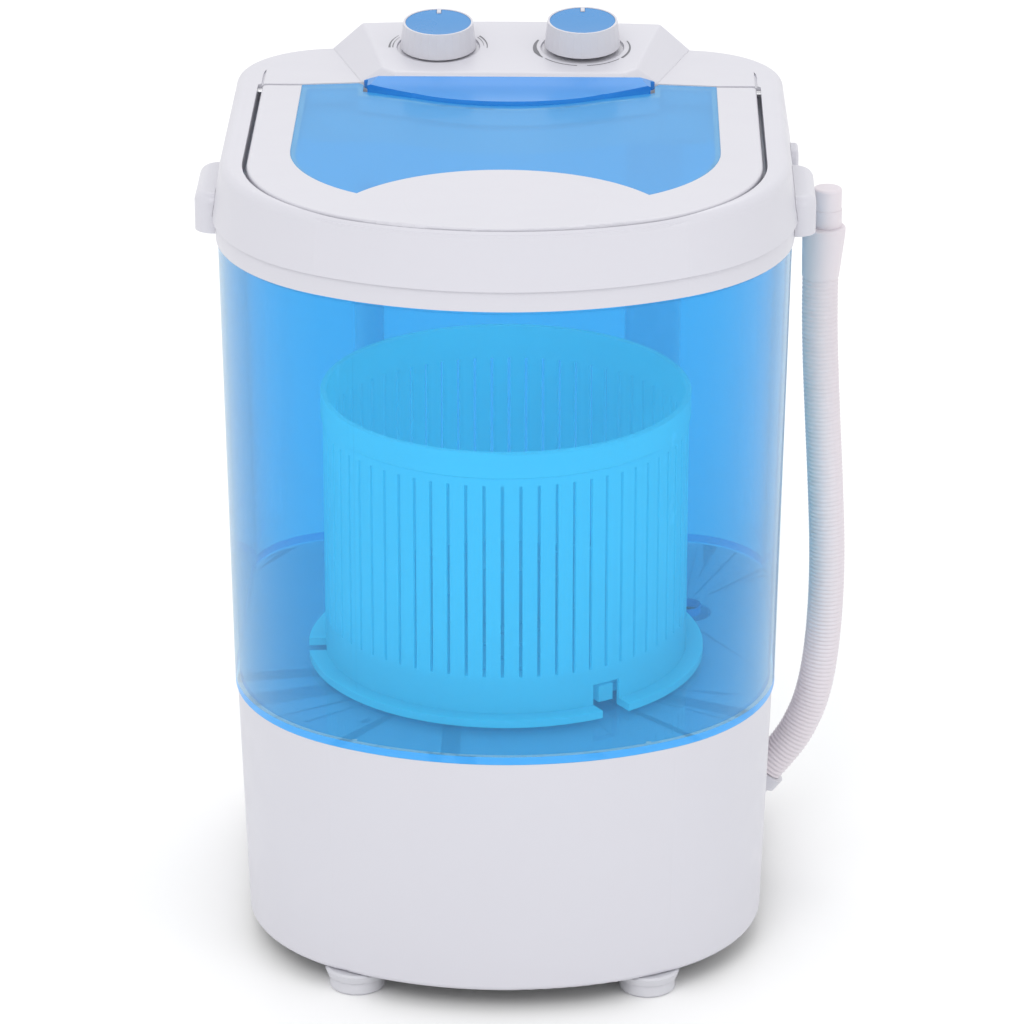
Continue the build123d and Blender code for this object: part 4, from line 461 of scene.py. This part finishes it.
def along(points, spacing):
    """The line's points again, evenly spaced."""
    lengths = [0.0]
    for before, after in zip(points, points[1:]):
        lengths.append(lengths[-1] + (after - before).length)
    total = lengths[-1]
    count = round(total / spacing)
    even, k = [], 0
    for step in range(count + 1):
        target = total * step / count
        while k < len(points) - 2 and lengths[k + 1] < target:
            k += 1
        run = lengths[k + 1] - lengths[k]
        share = (target - lengths[k]) / run if run else 0.0
        even.append(points[k].lerp(points[k + 1], share))
    return even, total


def make_hose(material):
    """The hose's ribbed skin, capped at both ends."""
    line = hose_line()
    rings, total = along(line, RIB_PITCH / RINGS_PER_RIB)
    side = Vector((0, 1, 0))
    vertices, faces = [], []
    for index, centre in enumerate(rings):
        before = rings[max(index - 1, 0)]
        after = rings[min(index + 1, len(rings) - 1)]
        forward = (after - before).normalized()
        across = forward.cross(side).normalized()
        upright = across.cross(forward).normalized()
        wave = 0.5 + 0.5 * math.cos(2 * math.pi * index / RINGS_PER_RIB)
        radius = HOSE_RADIUS - RIB_DEPTH * (1 - wave**RIB_FLATNESS)
        for step in range(HOSE_SIDES):
            angle = 2 * math.pi * step / HOSE_SIDES
            offset = across * math.cos(angle) + upright * math.sin(angle)
            vertices.append(centre + offset * radius)
    for index in range(len(rings) - 1):
        low, high = index * HOSE_SIDES, (index + 1) * HOSE_SIDES
        for step in range(HOSE_SIDES):
            turn = (step + 1) % HOSE_SIDES
            faces.append((low + step, high + step, high + turn, low + turn))
    faces.append(tuple(range(HOSE_SIDES)))
    last = (len(rings) - 1) * HOSE_SIDES
    faces.append(tuple(reversed(range(last, last + HOSE_SIDES))))
    hose = new_mesh("ribbed_hose", vertices, faces)
    hose.data.materials.append(material)
    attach(hose, "cabinet")
    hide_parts("drain_hose")


# ---------------------------------------------------------------------------
# Printed dial scales on the panel's slope
# ---------------------------------------------------------------------------

# The panel's front edge and lean, and where the dials stand on it
PANEL_FRONT_Y = 0.0904
PANEL_FRONT_Z = 0.4898
PANEL_TILT = math.radians(6.0)
DIAL_X = 0.043
DIAL_Y = 0.131
INK_LIFT = 0.00008
DEGREES_PER_STEP = 3.0

# Each band: dial side, first and last angle, mid radius, thickness at both ends
SCALE_BANDS = [
    (-1, 146, 184, 0.0292, 0.0003, 0.0013),
    (-1, 150, 184, 0.0272, 0.0002, 0.0007),
    (-1, 34, -4, 0.0292, 0.0013, 0.0005),
    (-1, 32, 2, 0.0272, 0.0007, 0.0002),
    (1, 158, 196, 0.0284, 0.0012, 0.0030),
    (1, 196, 214, 0.0284, 0.0030, 0.0008),
    (1, 218, 264, 0.0280, 0.0006, 0.0008),
    (1, 276, 322, 0.0280, 0.0008, 0.0006),
    (1, 326, 380, 0.0284, 0.0016, 0.0008),
]


def on_panel(x, y, lift):
    """A point on the panel's sloping top, raised by lift."""
    return (x, y, PANEL_FRONT_Z + (y - PANEL_FRONT_Y) * math.tan(PANEL_TILT) + lift)


def make_scale(number, band, material):
    """One printed arc round a dial, whose thickness changes evenly from end to end."""
    side, first, last, radius, first_width, last_width = band
    steps = max(int(abs(last - first) / DEGREES_PER_STEP), 2)
    edges = []
    for step in range(steps + 1):
        share = step / steps
        angle = math.radians(first + (last - first) * share)
        half = (first_width + (last_width - first_width) * share) / 2
        for reach in (radius - half, radius + half):
            x = side * DIAL_X + reach * math.cos(angle)
            y = DIAL_Y + reach * math.sin(angle)
            edges.append((x, y))
    vertices = [on_panel(x, y, INK_LIFT) for x, y in edges]
    faces = []
    for step in range(steps):
        corner = 2 * step
        face = (corner, corner + 1, corner + 3, corner + 2)
        faces.append(face if last < first else tuple(reversed(face)))
    mark = new_mesh("dial_scale_%02d" % number, vertices, faces)
    mark.data.materials.append(material)
    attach(mark, "cabinet")


# ---------------------------------------------------------------------------
# Studio: pale floor, soft light
# ---------------------------------------------------------------------------

FLOOR_HALF = 9.0
FLOOR_COLOUR = (0.90, 0.90, 0.90, 1)
WORLD_STRENGTH = 1.05

# Each lamp: name, place, target, size, power
LAMPS = [
    ("key", (-0.7, -2.6, 2.7), (0, 0, 0.25), (1.8, 1.4), 28.0),
    ("fill", (2.2, -1.8, 1.5), (0, 0, 0.25), (0.7, 2.0), 7.0),
    ("back", (0.2, 2.2, 3.0), (0, 0, 0.3), (2.4, 1.2), 16.0),
]


def make_studio():
    """A plain paper floor, an even white world and three soft lamps."""
    corners = [(-1, -1), (1, -1), (1, 1), (-1, 1)]
    floor = new_mesh("floor", [(x * FLOOR_HALF, y * FLOOR_HALF, 0) for x, y in corners], [(0, 1, 2, 3)])
    floor_material, nodes, link, output = new_material("floor_paper")
    shader = nodes.new("ShaderNodeBsdfPrincipled")
    shader.inputs["Base Color"].default_value = FLOOR_COLOUR
    shader.inputs["Roughness"].default_value = 0.9
    shader.inputs["Specular IOR Level"].default_value = 0.1
    link(shader.outputs["BSDF"], output.inputs["Surface"])
    floor.data.materials.append(floor_material)

    world = bpy.data.worlds.new("studio")
    world.use_nodes = True
    background = world.node_tree.nodes["Background"]
    background.inputs["Color"].default_value = (1, 1, 1, 1)
    background.inputs["Strength"].default_value = WORLD_STRENGTH
    SCENE.world = world

    for lamp in LAMPS:
        add_light(*lamp)


def add_light(name, place, target, size, power):
    """A soft rectangular lamp at place, aimed at target."""
    data = bpy.data.lights.new(name, "AREA")
    data.shape = "RECTANGLE"
    data.size, data.size_y = size
    data.energy = power
    lamp = bpy.data.objects.new(name, data)
    lamp.location = place
    aim = Vector(target) - Vector(place)
    lamp.rotation_euler = aim.to_track_quat("-Z", "Y").to_euler()
    SCENE.collection.objects.link(lamp)


make_camera()
paints = paint_frame()
make_hose(paints["hose"])
for number, band in enumerate(SCALE_BANDS):
    make_scale(number, band, paints["ink"])
make_studio()
